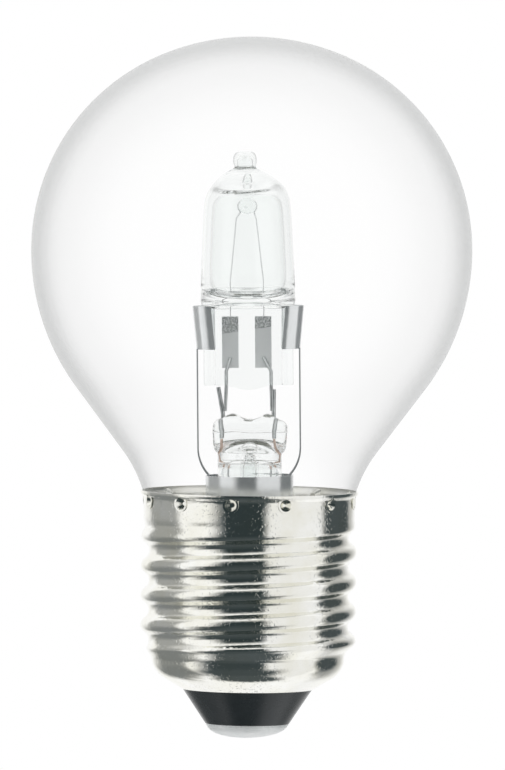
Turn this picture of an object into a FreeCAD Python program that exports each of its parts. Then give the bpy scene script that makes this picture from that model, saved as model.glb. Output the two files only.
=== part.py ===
import FreeCAD, Part
import math
import os
import Sketcher

# Clear mini-globe halogen lamp with an E27 screw cap.
# The lamp stands on the tip of its centre contact, +Z up, millimetres and degrees.
# The capsule's flat pinch faces the front, which is -Y, and its width lies along X.

SIZES = (
    # Globe and neck
    ("globe_radius", 26.77, "widest radius of the globe"),
    ("crown_flatness", 0.0609, "how much wider the crown's curve is than the globe"),
    ("crown_fall", 0.0325, "how far the crown stays short of a full globe, as a share"),
    ("lower_flatness", 0.0459, "how much wider the curve below the widest place is"),
    ("neck_run", 16.73, "from the mouth to the lower globe along a touching line"),
    ("neck_curve_share", 0.669, "hollow curve of the neck, of the fullest that fits"),
    ("neck_angle", 17.0, "slope of the neck where it meets the rim, from the axis"),
    ("mouth_drop", 0.13, "mouth of the globe below the top of the rim"),
    ("mouth_step", 0.09, "mouth of the globe outside the collar"),
    ("neck_tuck", 0.4, "height of the step from the rim into the cap"),
    ("neck_depth", 3.65, "neck inside the cap, below the rim"),
    ("glass_wall", 0.7, "wall of the globe, neck and stem"),
    # Screw cap
    ("thread_crest_radius", 13.1, "outer radius of the rolled thread"),
    ("thread_depth", 0.98, "crest to root"),
    ("thread_pitch", 3.629, "rise of one turn, seven to the inch"),
    ("thread_crest_rise", 5.86, "lowest full crest on the +X side, above the shell's edge"),
    ("thread_fade_in", 2.5, "height over which the thread grows at its lower end"),
    ("thread_end_drop", 5.75, "where the thread starts to run out, below the rim"),
    ("thread_fade_out", 2.5, "height over which it runs out below the collar"),
    ("cap_height", 24.09, "shell from its lower edge to its rim"),
    ("collar_inset", 0.25, "plain collar inside the crests"),
    ("cap_wall", 0.25, "sheet of the cap"),
    ("rim_flare", 0.85, "height of the flared rim"),
    ("rim_lip", 0.3, "upright lip at the top of the rim"),
    ("rim_clearance", 0.06, "gap between the rim and the neck"),
    ("cap_base_slope", 31.0, "slope of the cap's underside, from level"),
    ("cap_base_reach", 2.27, "width of the sloping underside"),
    ("cap_corner_radius", 2.9, "round from the underside to the wall"),
    ("cap_corner_end", 82.0, "slope where that round ends, from level"),
    ("cap_corner_inset", 0.42, "that place inside the thread's root"),
    ("dimple_count", 12, "punch marks that hold the neck"),
    ("dimple_first_angle", 20.0, "first mark, to the right of the front"),
    ("dimple_drop", 1.16, "from the rim down to the marks"),
    ("dimple_radius", 0.72, "mouth of a mark"),
    ("dimple_tip_radius", 0.2, "floor of a mark"),
    ("dimple_depth", 0.6, "depth of a mark"),
    ("dimple_lip", 0.1, "raised edge of a mark"),
    ("dimple_clearance", 0.05, "gap between a mark and the neck"),
    # Insulator and contact
    ("insulator_clearance", 0.03, "gap between the insulator and the shell"),
    ("insulator_spread", 2.79, "insulator's cone from its foot to the shell"),
    ("insulator_bottom_height", 1.75, "underside of the insulator"),
    ("insulator_cone_height", 4.21, "height of the insulator's cone"),
    ("insulator_flange_reach", 0.81, "flange inside the shell, beyond the hole"),
    ("insulator_inner_rise", 1.64, "top of the insulator above the shell's edge"),
    ("insulator_bore_radius", 0.9, "hole for the contact wire"),
    ("contact_plate_inset", 0.1, "contact plate inside the insulator's foot"),
    ("contact_plate_thickness", 0.2, "sheet of the contact plate"),
    ("contact_hole_radius", 0.5, "wire hole in the contact plate"),
    ("contact_dome_inset", 0.05, "solder inside the plate's edge"),
    ("contact_dome_shift", 0.35, "the solder's sideways slump towards -X"),
    # Stem
    ("stem_tube_radius", 3.9, "stem tube below the press"),
    ("stem_tube_rise", 3.0, "straight stem tube, up to its closed top"),
    ("stem_waist_rise", 3.7, "widening stem, above its seat"),
    ("stem_seat_spread", 1.12, "stem at its seat, beyond the tube"),
    ("stem_seat_rise", 1.8, "seat above the lower end of the neck"),
    ("stem_flare_radius", 12.0, "turn of the flare under the ring"),
    ("stem_dome_thickness", 0.98, "glass that closes the stem tube"),
    ("press_spread", 0.65, "half width of the flattened press, beyond the tube"),
    ("press_foot_inset", 0.5, "foot of the press inside its sides"),
    ("press_overlap", 0.6, "foot of the press below the top of the tube"),
    ("press_foot_rise", 1.3, "from the foot up to the upright sides"),
    ("press_side_height", 2.6, "upright sides"),
    ("press_shoulder_rise", 1.15, "two shoulders above the sides"),
    ("press_shoulder_inset", 2.35, "shoulders inside the sides"),
    ("press_dip_share", 2.55, "hollow between the shoulders, of their distance from the axis"),
    ("press_thickness", 3.2, "press from front to back"),
    ("press_edge_radius", 0.8, "melted edges of the press"),
    ("exhaust_radius", 1.1, "exhaust tube"),
    ("exhaust_wall", 0.35, "wall of the exhaust tube"),
    ("exhaust_tip_rise", 4.9, "sealed tip of the exhaust tube above the insulator"),
    ("blow_hole_radius", 0.5, "opening from the exhaust tube into the globe"),
    # Support frame
    ("ring_slack", 0.16, "ring outside the stem's seat"),
    ("ring_clearance", 0.15, "gap between the ring's lower edge and the seat"),
    ("ring_height", 3.6, "band of the ring"),
    ("strip_thickness", 0.18, "sheet of the ring and the arms"),
    ("strip_width", 2.3, "width of an arm strip"),
    ("strip_clearance", 0.03, "gap between an arm and the ring"),
    ("arm_foot_rise", 1.05, "foot of an arm above the ring's lower edge"),
    ("arm_bend_rise", 3.3, "lower end of the straight run above the ring"),
    ("clip_rise", 4.4, "lower edge of the clips above the foot of the pinch"),
    ("clip_length", 5.25, "length of a clip"),
    ("clip_stand", 0.8, "back of an arm and of its clip's lower edge beyond the pinch"),
    ("clip_spread", 0.5, "how far the top of a clip stands out from its foot"),
    ("clip_slack", 0.36, "clip's round section outside the pinch's flats"),
    ("clip_reach", 2.25, "clip from its back to the ends of its jaws"),
    ("burner_lean", 1.0, "lean of the frame and capsule towards -X"),
    ("burner_pivot_drop", 0.95, "place that the lean turns about, below the ring's top"),
    # Capsule
    ("pinch_radius", 5.5, "half width of the pinch"),
    ("pinch_above_press", 3.55, "lower corners of the pinch above the press"),
    ("pinch_sag", 0.55, "middle of the lower edge below its corners"),
    ("pinch_above_clip", 0.1, "flat pinch above the top of the clips"),
    ("pinch_thickness", 2.3, "flat of the pinch"),
    ("rib_thickness", 3.2, "thick edges of the pinch"),
    ("rib_width", 0.85, "flat top of a thick edge"),
    ("rib_slope", 0.35, "run of a thick edge's side, for each rise of one"),
    ("pinch_curve_radius", 0.8, "hollow curve from the flat pinch to the round body"),
    ("pinch_curve_angle", 82.0, "slope where that curve turns to the swelling one, from upright"),
    ("pinch_wall", 0.95, "glass between the pinch's curves and the cavity"),
    ("capsule_swell", 0.3, "widest place beyond the pinch"),
    ("capsule_swell_rise", 1.85, "widest place above the flat pinch"),
    ("capsule_taper", 0.52, "shoulder inside the widest place"),
    ("capsule_wall_height", 10.9, "tapered wall"),
    ("capsule_shoulder_round", 2.6, "round of the shoulder"),
    ("dome_edge_inset", 0.62, "outer edge of the dome inside the shoulder"),
    ("dome_edge_rise", 1.45, "that edge above the shoulder"),
    ("dome_rise", 2.45, "dome, from its edge to the foot of the tip"),
    ("dome_curve_radius", 9.5, "curve of the dome"),
    ("tip_foot_radius", 1.5, "foot of the tip on the dome"),
    ("tip_radius", 1.46, "sealed tip"),
    ("tip_neck_radius", 1.2, "waist under the tip"),
    ("tip_height", 2.0, "tip above the dome"),
    ("tip_round", 0.7, "round of the tip"),
    ("tip_shift", 0.25, "the tip's place towards -X"),
    ("cavity_wall", 0.88, "glass of the capsule at its shoulder"),
    ("cavity_floor_rise", 1.05, "bottom of the cavity above the flat pinch"),
    ("cavity_above_shoulder", 1.1, "top of the cavity above the shoulder"),
    ("cavity_top_round", 1.7, "round at the top of the cavity"),
    ("cavity_bottom_round", 0.8, "round at the bottom of the cavity"),
    ("post_radius", 1.0, "glass post that the filament hangs on"),
    ("post_drop", 1.8, "post below the top of the cavity"),
    # Filament, foils and leads
    ("filament_radius", 0.1, "outside of the coiled filament"),
    ("filament_clearance", 0.04, "gap between the coil and the post"),
    ("kink_drop", 1.5, "where the coil turns to the post, below it"),
    ("kink_left", 1.35, "that place on the left"),
    ("kink_right", 1.05, "that place on the right"),
    ("coil_foot_rise", 1.6, "lower ends of the coil above the cavity's bottom"),
    ("inner_lead_radius", 0.06, "leads from the coil to the foils"),
    ("inner_lead_left_reach", 2.15, "left inner lead from the axis"),
    ("inner_lead_right_reach", 1.9, "right inner lead from the axis"),
    ("foil_width", 2.0, "sealing foil"),
    ("foil_length", 6.25, "sealing foil"),
    ("foil_thickness", 0.05, "sealing foil"),
    ("foil_left_reach", 2.2, "left foil from the axis"),
    ("foil_right_reach", 1.8, "right foil from the axis"),
    ("foil_rise", 2.1, "lower end of the foils above the foot of the pinch"),
    ("foil_overlap", 1.3, "length of lead welded on a foil"),
    ("capsule_lead_radius", 0.21, "leads out of the capsule"),
    ("lead_bend_rise", 1.7, "where those leads turn, above the foot of the pinch"),
    ("lead_drop_left", 2.72, "left lead from the axis under the bend"),
    ("lead_drop_right", 2.72, "right lead from the axis under the bend"),
    ("lead_foot_left", 2.9, "left lead from the axis at its end"),
    ("lead_foot_right", 2.8, "right lead from the axis at its end"),
    ("capsule_lead_rise", 0.4, "lower ends of those leads above the press"),
    ("stem_lead_radius", 0.25, "thick leads out of the stem"),
    ("stem_lead_left_reach", 3.3, "left stem lead from the axis"),
    ("stem_lead_right_reach", 2.85, "right stem lead from the axis"),
    ("stem_lead_foot_rise", 2.1, "lower ends of the thick leads above the press's foot"),
    ("stub_rise", 3.25, "top of the left lead's free end above the press"),
    ("stub_reach", 3.9, "that end from the axis"),
    ("right_lead_rise", 3.05, "top of the right stem lead above the press"),
    ("sealing_wire_radius", 0.15, "sealing wires in the press"),
    ("sealing_wire_drop", 0.92, "their lower ends below the closed top of the stem"),
    ("supply_radius", 0.12, "wires from the stem to the cap"),
    ("supply_inset", 0.55, "those wires inside the wall of the stem tube"),
    ("supply_drop", 0.5, "side wire below the flare, where it leaves the stem"),
    ("supply_tuck", 0.35, "side wire inside the neck's wall where it turns up"),
    ("supply_slant", 0.9, "drop of the side wire on its way to that turn"),
    ("wire_bend", 0.6, "inner curve of every bent lead and wire"),
    ("notch_drop", 1.0, "side wire below the rim where it leaves the cap"),
    ("notch_width", 0.6, "notch in the rim for the side wire"),
    ("fuse_radius", 0.07, "thin fuse wire"),
    ("fuse_rise", 4.4, "lower end of the fuse wire above the insulator"),
    ("fuse_length", 9.0, "fuse wire"),
    ("wire_clearance", 0.02, "gap round an embedded wire or foil"),
    ("joint_gap", 0.06, "gap where two wire ends meet"),
    ("solder_width", 2.0, "blob that joins the side wire to the rim"),
    ("solder_stand", 0.55, "the blob proud of the rim"),
    ("solder_angle", 95.0, "place of the blob, from +X towards +Y"),
)

doc = FreeCAD.newDocument("HalogenLamp")
sheet = doc.addObject("Spreadsheet::Sheet", "Sizes")
for row, (alias, number, note) in enumerate(SIZES, start=1):
    sheet.set(f"A{row}", alias)
    sheet.set(f"B{row}", str(number))
    sheet.setAlias(f"B{row}", alias)
    sheet.set(f"C{row}", note)
doc.recompute()


class Size:
    """A number that carries the sheet formula it comes from."""

    def __init__(self, value, formula):
        self.value = float(value)
        self.formula = formula

    def __add__(self, other):
        other = as_size(other)
        return Size(self.value + other.value, f"({self.formula} + {other.formula})")

    def __sub__(self, other):
        other = as_size(other)
        return Size(self.value - other.value, f"({self.formula} - {other.formula})")

    def __mul__(self, other):
        other = as_size(other)
        return Size(self.value * other.value, f"({self.formula} * {other.formula})")

    def __truediv__(self, other):
        other = as_size(other)
        return Size(self.value / other.value, f"({self.formula} / {other.formula})")

    def __neg__(self):
        return as_size(0) - self

    def __radd__(self, other):
        return as_size(other) + self

    def __rsub__(self, other):
        return as_size(other) - self

    def __rmul__(self, other):
        return as_size(other) * self


def as_size(number):
    if isinstance(number, Size):
        return number
    return Size(number, f"{number:g}")


def square_root(size):
    return Size(math.sqrt(size.value), f"sqrt({size.formula})")


def sine(size):
    return Size(math.sin(math.radians(size.value)), f"sin({size.formula})")


def cosine(size):
    return Size(math.cos(math.radians(size.value)), f"cos({size.formula})")


def tangent(size):
    return Size(math.tan(math.radians(size.value)), f"tan({size.formula})")


dim = {alias: Size(sheet.get(alias), f"Sizes.{alias}") for alias, number, note in SIZES}


# Tools for bodies and sketches

PARTS = []


def new_body(label):
    body = doc.addObject("PartDesign::Body", label)
    body.Label = label
    PARTS.append(body)
    return body


def origin_plane(body, role):
    return next(item for item in body.Origin.OriginFeatures if item.Role == role)


def new_sketch(body, role, name, sideways=0, upward=0, forward=0):
    """A sketch on an origin plane, moved along the plane and off it."""
    sketch = body.newObject("Sketcher::SketchObject", name)
    sketch.AttachmentSupport = [(origin_plane(body, role), "")]
    sketch.MapMode = "FlatFace"
    for axis, amount in (("x", sideways), ("y", upward), ("z", forward)):
        sketch.setExpression(f".AttachmentOffset.Base.{axis}", as_size(amount).formula)
    return sketch


def tie_point(sketch, geometry, end, x, y):
    """Holds one end of an edge at a place given by the sheet."""
    for kind, size in (("DistanceX", as_size(x)), ("DistanceY", as_size(y))):
        constraint = sketch.addConstraint(
            Sketcher.Constraint(kind, -1, 1, geometry, end, size.value))
        sketch.setExpression(f"Constraints[{constraint}]", size.formula)


def straight_edge(sketch, start, finish):
    line = Part.LineSegment(FreeCAD.Vector(*start, 0), FreeCAD.Vector(*finish, 0))
    return sketch.addGeometry(line, False), 1, 2


def round_edge(sketch, start, finish, radius, turn):
    """An arc under half a circle that bends to the left for turn 1, to the right for -1."""
    middle = FreeCAD.Vector((start[0] + finish[0]) / 2, (start[1] + finish[1]) / 2, 0)
    chord = FreeCAD.Vector(finish[0] - start[0], finish[1] - start[1], 0)
    left = FreeCAD.Vector(-chord.y, chord.x, 0).normalize()
    rise = math.sqrt(max(radius.value ** 2 - chord.Length ** 2 / 4, 0))
    centre = middle + left * (turn * rise)
    first, last = (start, finish) if turn > 0 else (finish, start)
    angles = [math.atan2(point[1] - centre.y, point[0] - centre.x) for point in (first, last)]
    circle = Part.Circle(centre, FreeCAD.Vector(0, 0, 1), radius.value)
    arc = sketch.addGeometry(Part.ArcOfCircle(circle, angles[0], angles[1]), False)
    tie = sketch.addConstraint(Sketcher.Constraint("Radius", arc, radius.value))
    sketch.setExpression(f"Constraints[{tie}]", radius.formula)
    return (arc, 1, 2) if turn > 0 else (arc, 2, 1)


def draw_outline(sketch, corners, closed=True):
    """Draws edges from corner to corner.

    A corner is (x, y), or (x, y, radius, turn) where an arc leaves it.
    """
    edges = []
    count = len(corners) if closed else len(corners) - 1
    for index in range(count):
        corner = corners[index]
        following = corners[(index + 1) % len(corners)]
        start = (as_size(corner[0]).value, as_size(corner[1]).value)
        finish = (as_size(following[0]).value, as_size(following[1]).value)
        if len(corner) == 4:
            edge = round_edge(sketch, start, finish, as_size(corner[2]), corner[3])
        else:
            edge = straight_edge(sketch, start, finish)
        edges.append(edge)
    for index, (geometry, start_end, finish_end) in enumerate(edges):
        tie_point(sketch, geometry, start_end, corners[index][0], corners[index][1])
        if index + 1 < len(edges) or closed:
            following = edges[(index + 1) % len(edges)]
            sketch.addConstraint(Sketcher.Constraint(
                "Coincident", geometry, finish_end, following[0], following[1]))
    if not closed:
        geometry, start_end, finish_end = edges[-1]
        tie_point(sketch, geometry, finish_end, corners[-1][0], corners[-1][1])


def draw_circle(sketch, x, y, radius):
    x, y, radius = as_size(x), as_size(y), as_size(radius)
    circle = Part.Circle(FreeCAD.Vector(x.value, y.value, 0), FreeCAD.Vector(0, 0, 1), radius.value)
    geometry = sketch.addGeometry(circle, False)
    tie_point(sketch, geometry, 3, x, y)
    tie = sketch.addConstraint(Sketcher.Constraint("Radius", geometry, radius.value))
    sketch.setExpression(f"Constraints[{tie}]", radius.formula)


def draw_rectangle(sketch, left, low, right, high):
    draw_outline(sketch, [(left, low), (right, low), (right, high), (left, high)])


def turn_solid(body, name, corners, sideways=0, cut=False):
    """Turns an outline in the XZ plane round the upright axis of its sketch."""
    sketch = new_sketch(body, "XZ_Plane", f"{name}_outline", sideways=sideways)
    draw_outline(sketch, corners)
    feature = body.newObject("PartDesign::Groove" if cut else "PartDesign::Revolution", name)
    feature.Profile = sketch
    feature.ReferenceAxis = (sketch, ["V_Axis"])
    feature.Angle = 360
    return feature


def extrude(body, sketch, name, length, both_sides=False, cut=False, backwards=False):
    feature = body.newObject("PartDesign::Pocket" if cut else "PartDesign::Pad", name)
    feature.Profile = sketch
    feature.setExpression("Length", as_size(length).formula)
    if both_sides:
        feature.SideType = "Symmetric"
    feature.Reversed = backwards
    return feature


def bent_route(corners):
    """A route of straight runs whose corners are rounded by the wire's own bend."""
    bend = dim["wire_bend"]
    places = [(as_size(x), as_size(y)) for x, y in corners]
    route = [places[0]]
    for before, corner, after in zip(places, places[1:], places[2:]):
        x_in, y_in, run_in = direction(before, corner)
        x_out, y_out, run_out = direction(corner, after)
        along = (x_in * x_out + y_in * y_out) / (run_in * run_out)
        cut = bend * square_root((1 - along) / (1 + along))
        turn = 1 if (x_in * y_out - y_in * x_out).value > 0 else -1
        route.append((corner[0] - x_in / run_in * cut, corner[1] - y_in / run_in * cut, bend, turn))
        route.append((corner[0] + x_out / run_out * cut, corner[1] + y_out / run_out * cut))
    return route + [places[-1]]


def direction(start, finish):
    x, y = finish[0] - start[0], finish[1] - start[1]
    return x, y, square_root(x * x + y * y)


def run_wire(body, name, route, radius, forward=0, cut=False):
    """Sweeps a round wire along a route in a plane parallel to XZ."""
    path = new_sketch(body, "XZ_Plane", f"{name}_route", forward=forward)
    draw_outline(path, route, closed=False)
    section = new_sketch(body, "XY_Plane", f"{name}_section", forward=route[0][1])
    draw_circle(section, route[0][0], -as_size(forward), radius)
    doc.recompute()
    kind = "PartDesign::SubtractivePipe" if cut else "PartDesign::AdditivePipe"
    feature = body.newObject(kind, name)
    feature.Profile = section
    feature.Spine = path
    feature.Transition = "Right corner" if cut else "Round corner"
    return feature


# Places that several pieces share

def point_on(centre, radius, angle, side=1):
    """A place on a circle, at an angle above the level, to the right or the left."""
    return centre[0] + side * radius * cosine(angle), centre[1] + radius * sine(angle)


# Screw cap, from the thread
thread_root_radius = dim["thread_crest_radius"] - dim["thread_depth"]
collar_radius = dim["thread_crest_radius"] - dim["collar_inset"]
collar_inside = collar_radius - dim["cap_wall"]
cap_wall_radius = thread_root_radius - dim["cap_corner_inset"]
cap_hole_radius = (
    cap_wall_radius - dim["cap_base_reach"]
    - dim["cap_corner_radius"] * (sine(dim["cap_corner_end"]) - sine(dim["cap_base_slope"])))
base_height = dim["insulator_bottom_height"] + dim["insulator_cone_height"]
rim_height = base_height + dim["cap_height"]
thread_crest_height = base_height + dim["thread_crest_rise"]
thread_end_height = rim_height - dim["thread_end_drop"]
insulator_top_radius = (
    cap_hole_radius - dim["insulator_clearance"] - dim["cap_wall"] * sine(dim["cap_base_slope"]))
insulator_foot_radius = insulator_top_radius - dim["insulator_spread"]
insulator_inner_height = base_height + dim["insulator_inner_rise"]
contact_plate_radius = insulator_foot_radius - dim["contact_plate_inset"]
contact_plate_bottom = dim["insulator_bottom_height"] - dim["contact_plate_thickness"]

# Neck and globe, from the rim
neck_seat_radius = collar_inside - dim["dimple_depth"] - dim["dimple_clearance"]
neck_end_height = rim_height - dim["neck_depth"]
neck_mouth = (collar_radius + dim["mouth_step"], rim_height - dim["mouth_drop"])
lip_outside = neck_mouth[0] + dim["rim_clearance"] + dim["cap_wall"]
crown_radius = dim["globe_radius"] * (1 + dim["crown_flatness"])
crown_rise = dim["globe_radius"] * (1 - dim["crown_fall"])
lower_radius = dim["globe_radius"] * (1 + dim["lower_flatness"])
lower_offset = lower_radius - dim["globe_radius"] + neck_mouth[0]
globe_height = neck_mouth[1] + square_root(
    lower_radius * lower_radius + dim["neck_run"] * dim["neck_run"] - lower_offset * lower_offset)
overall_height = globe_height + crown_rise
shoulder_radius = (
    (crown_radius * crown_radius - dim["globe_radius"] * dim["globe_radius"]
     - (crown_radius - crown_rise) * (crown_radius - crown_rise))
    / (2 * (crown_radius - dim["globe_radius"])))
crown_centre = (as_size(0), overall_height - crown_radius)
shoulder_centre = (dim["globe_radius"] - shoulder_radius, globe_height)
lower_centre = (dim["globe_radius"] - lower_radius, globe_height)
fullest_neck_curve = dim["neck_run"] * dim["neck_run"] / (
    2 * (lower_radius - lower_offset * cosine(dim["neck_angle"])
         - (globe_height - neck_mouth[1]) * sine(dim["neck_angle"])))
neck_curve = fullest_neck_curve * dim["neck_curve_share"]
neck_centre = (
    neck_mouth[0] + neck_curve * cosine(dim["neck_angle"]),
    neck_mouth[1] - neck_curve * sine(dim["neck_angle"]))

# Stem and ring, from the neck
stem_seat_radius = dim["stem_tube_radius"] + dim["stem_seat_spread"]
stem_seat_height = neck_end_height + dim["stem_seat_rise"]
stem_waist_height = stem_seat_height + dim["stem_waist_rise"]
stem_top = stem_waist_height + dim["stem_tube_rise"]
stem_dome = stem_top - dim["stem_dome_thickness"]
stem_inside = dim["stem_tube_radius"] - dim["glass_wall"]
press_half_width = dim["stem_tube_radius"] + dim["press_spread"]
press_shoulder_reach = press_half_width - dim["press_shoulder_inset"]
press_foot = stem_top - dim["press_overlap"]
press_low = press_foot + dim["press_foot_rise"]
press_high = press_low + dim["press_side_height"]
press_shoulder = press_high + dim["press_shoulder_rise"]
ring_inside = stem_seat_radius + dim["ring_slack"]
ring_foot = stem_seat_height + dim["ring_clearance"]
ring_top = ring_foot + dim["ring_height"]

# Capsule, from the press
pinch_bottom = press_shoulder + dim["pinch_above_press"]
clip_bottom = pinch_bottom + dim["clip_rise"]
clip_back = dim["pinch_radius"] + dim["clip_stand"]
pinch_top = clip_bottom + dim["clip_length"] + dim["pinch_above_clip"]
capsule_radius = dim["pinch_radius"] + dim["capsule_swell"]
capsule_wide_height = pinch_top + dim["capsule_swell_rise"]
capsule_shoulder_radius = capsule_radius - dim["capsule_taper"]
capsule_shoulder_height = capsule_wide_height + dim["capsule_wall_height"]
dome_edge_radius = capsule_shoulder_radius - dim["dome_edge_inset"]
dome_edge_height = capsule_shoulder_height + dim["dome_edge_rise"]
dome_top_height = dome_edge_height + dim["dome_rise"]
tip_top_height = dome_top_height + dim["tip_height"]
cavity_radius = capsule_shoulder_radius - dim["cavity_wall"]
cavity_bottom_height = pinch_top + dim["cavity_floor_rise"]
cavity_top_height = capsule_shoulder_height + dim["cavity_above_shoulder"]
post_height = cavity_top_height - dim["post_drop"]
coil_foot_height = cavity_bottom_height + dim["coil_foot_rise"]
foil_bottom_height = pinch_bottom + dim["foil_rise"]

# Wires and leads
foil_front = dim["foil_thickness"] / 2 + dim["wire_clearance"]
capsule_lead_front = foil_front + dim["capsule_lead_radius"]
inner_lead_front = -(foil_front + dim["inner_lead_radius"])
stem_lead_back = (
    dim["capsule_lead_radius"] + dim["stem_lead_radius"] + dim["wire_clearance"]
    - capsule_lead_front)
stem_lead_foot_height = press_foot + dim["stem_lead_foot_rise"]
sealing_wire_end = stem_dome - dim["sealing_wire_drop"]
supply_reach = stem_inside - dim["supply_inset"]
supply_turn_height = neck_end_height - dim["glass_wall"] - dim["supply_drop"]
fuse_bottom_height = insulator_inner_height + dim["fuse_rise"]
fuse_top_height = fuse_bottom_height + dim["fuse_length"]
notch_height = rim_height - dim["notch_drop"]


def cone_ends(wall):
    """The ends of the straight cone between the globe and the neck, a wall inside the outer skin."""
    x = neck_centre[0] - lower_centre[0]
    z = neck_centre[1] - lower_centre[1]
    both = lower_radius + neck_curve
    apart = x * x + z * z
    slack = square_root(apart - both * both)
    sideways = (both * x - slack * z) / apart
    upward = (both * z + slack * x) / apart
    lower = lower_radius - wall
    hollow = neck_curve + wall
    return (
        (lower_centre[0] + sideways * lower, lower_centre[1] + upward * lower),
        (neck_centre[0] - sideways * hollow, neck_centre[1] - upward * hollow))


def crown_join(wall):
    """Where the crown passes into the globe's shoulder, on the skin that lies a wall inside."""
    share = (crown_radius - wall) / (crown_radius - shoulder_radius)
    return (
        shoulder_centre[0] * share,
        crown_centre[1] + (shoulder_centre[1] - crown_centre[1]) * share)


def globe_skin(wall):
    """The globe's outline from its crown to its mouth, a wall inside the outer skin."""
    hollow = neck_curve + wall
    join = crown_join(wall)
    cone_top, cone_foot = cone_ends(wall)
    mouth = point_on(neck_centre, hollow, dim["neck_angle"], side=-1)
    return [
        (0, overall_height - wall, crown_radius - wall, -1),
        (*join, shoulder_radius - wall, -1),
        (dim["globe_radius"] - wall, globe_height, lower_radius - wall, -1),
        cone_top,
        (*cone_foot, hollow, 1),
        mouth]


def build_outer_bulb():
    body = new_body("outer_bulb")
    seat_top = neck_mouth[1] - dim["neck_tuck"]
    inner_radius = neck_seat_radius - dim["glass_wall"]
    outside = globe_skin(as_size(0)) + [
        (neck_seat_radius, seat_top),
        (neck_seat_radius, neck_end_height)]
    inside = globe_skin(dim["glass_wall"]) + [
        (inner_radius, seat_top - dim["glass_wall"]),
        (inner_radius, neck_end_height)]
    returning = reverse_outline(inside)
    turn_solid(body, "globe", outside + returning)


def reverse_outline(corners):
    """The same outline drawn the other way round, with its arcs bending as before."""
    turned = []
    for index in range(len(corners) - 1, -1, -1):
        before = corners[index - 1] if index > 0 else ()
        arc = (before[2], -before[3]) if len(before) == 4 else ()
        turned.append((corners[index][0], corners[index][1], *arc))
    return turned


def build_stem():
    """The flared glass stem, with the press that seals the wires."""
    body = new_body("stem_flare")
    wall = dim["glass_wall"]
    seat = (stem_seat_radius, stem_seat_height)
    rim_inside = neck_seat_radius - wall
    flare = dim["stem_flare_radius"]
    foot = neck_end_height
    turn_solid(body, "flare", [
        (0, stem_top),
        (dim["stem_tube_radius"], stem_top),
        (dim["stem_tube_radius"], stem_waist_height),
        (*seat, flare, 1),
        (neck_seat_radius, foot),
        (neck_seat_radius, foot - wall),
        (rim_inside, foot - wall, flare + wall, -1),
        (seat[0] - wall, seat[1] - wall / 2),
        (stem_inside, stem_waist_height),
        (stem_inside, stem_dome),
        (0, stem_dome)])
    outline = new_sketch(body, "XZ_Plane", "press_outline")
    side_round = dim["press_shoulder_inset"] * 0.9
    foot_reach = press_half_width - dim["press_foot_inset"]
    right = [
        (foot_reach, press_foot),
        (press_half_width, press_low),
        (press_half_width, press_high, side_round, 1),
        (press_shoulder_reach, press_shoulder, press_shoulder_reach * dim["press_dip_share"], -1)]
    left = [
        (-press_shoulder_reach, press_shoulder, side_round, 1),
        (-press_half_width, press_high),
        (-press_half_width, press_low),
        (-foot_reach, press_foot)]
    draw_outline(outline, right + left)
    extrude(body, outline, "press", dim["press_thickness"], both_sides=True)
    doc.recompute()
    round_press_edges(body)
    passage_bottom = stem_dome - dim["wire_clearance"]
    blow_hole_height = stem_top + dim["blow_hole_radius"] / 2
    bore = new_sketch(body, "XY_Plane", "exhaust_bore", forward=passage_bottom)
    draw_circle(bore, 0, 0, dim["blow_hole_radius"])
    extrude(body, bore, "exhaust_passage", blow_hole_height - passage_bottom,
            cut=True, backwards=True)
    port = new_sketch(body, "XZ_Plane", "blow_hole_outline")
    draw_circle(port, 0, blow_hole_height, dim["blow_hole_radius"])
    extrude(body, port, "blow_hole", dim["press_thickness"], cut=True, backwards=True)
    gap = dim["wire_clearance"]
    for name, side, place in stem_sides():
        run_wire(body, f"{name}_sealing_channel", sealing_wire_route(side, place),
                 dim["sealing_wire_radius"] + gap, forward=-stem_lead_back, cut=True)
        mouth = new_sketch(body, "XY_Plane", f"{name}_lead_mouth", forward=stem_lead_foot_height - gap)
        draw_circle(mouth, side * place, stem_lead_back, dim["stem_lead_radius"] + gap)
        extrude(body, mouth, f"{name}_lead_channel", press_shoulder - stem_lead_foot_height + 1,
                cut=True, backwards=True)


def stem_sides():
    return ("left", -1, dim["stem_lead_left_reach"]), ("right", 1, dim["stem_lead_right_reach"])


def sealing_wire_route(side, place):
    """From the stem tube up through the press to the thick lead."""
    return bent_route([
        (side * supply_reach, sealing_wire_end),
        (side * supply_reach, stem_dome),
        (side * place, stem_lead_foot_height - dim["wire_bend"]),
        (side * place, stem_lead_foot_height - dim["joint_gap"])])


def round_press_edges(body):
    """Rounds the long front and back edges of the press, as glass melts."""
    press = body.Tip
    half = dim["press_thickness"].value / 2
    low = press_low.value - 0.1
    names = []
    for number, edge in enumerate(press.Shape.Edges, start=1):
        box = edge.BoundBox
        flat = abs(box.YMin - box.YMax) < 0.001
        on_face = abs(abs(box.YMin) - half) < 0.001
        if flat and on_face and box.ZMin > low:
            names.append(f"Edge{number}")
    rounding = body.newObject("PartDesign::Fillet", "melted_edges")
    rounding.Base = (press, names)
    rounding.setExpression("Radius", dim["press_edge_radius"].formula)


def build_exhaust_tube():
    body = new_body("exhaust_tube")
    radius = dim["exhaust_radius"]
    bore = radius - dim["exhaust_wall"]
    end = insulator_inner_height + dim["exhaust_tip_rise"]
    turn_solid(body, "tube", [
        (bore, stem_dome),
        (bore, end + radius + bore, bore, -1),
        (0, end + radius),
        (0, end, radius, 1),
        (radius, end + radius),
        (radius, stem_dome)])


def build_support_ring():
    body = new_body("support_ring")
    sketch = new_sketch(body, "XY_Plane", "ring_section", forward=ring_foot)
    draw_circle(sketch, 0, 0, ring_inside + dim["strip_thickness"])
    draw_circle(sketch, 0, 0, ring_inside)
    extrude(body, sketch, "band", dim["ring_height"])
    return body


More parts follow.
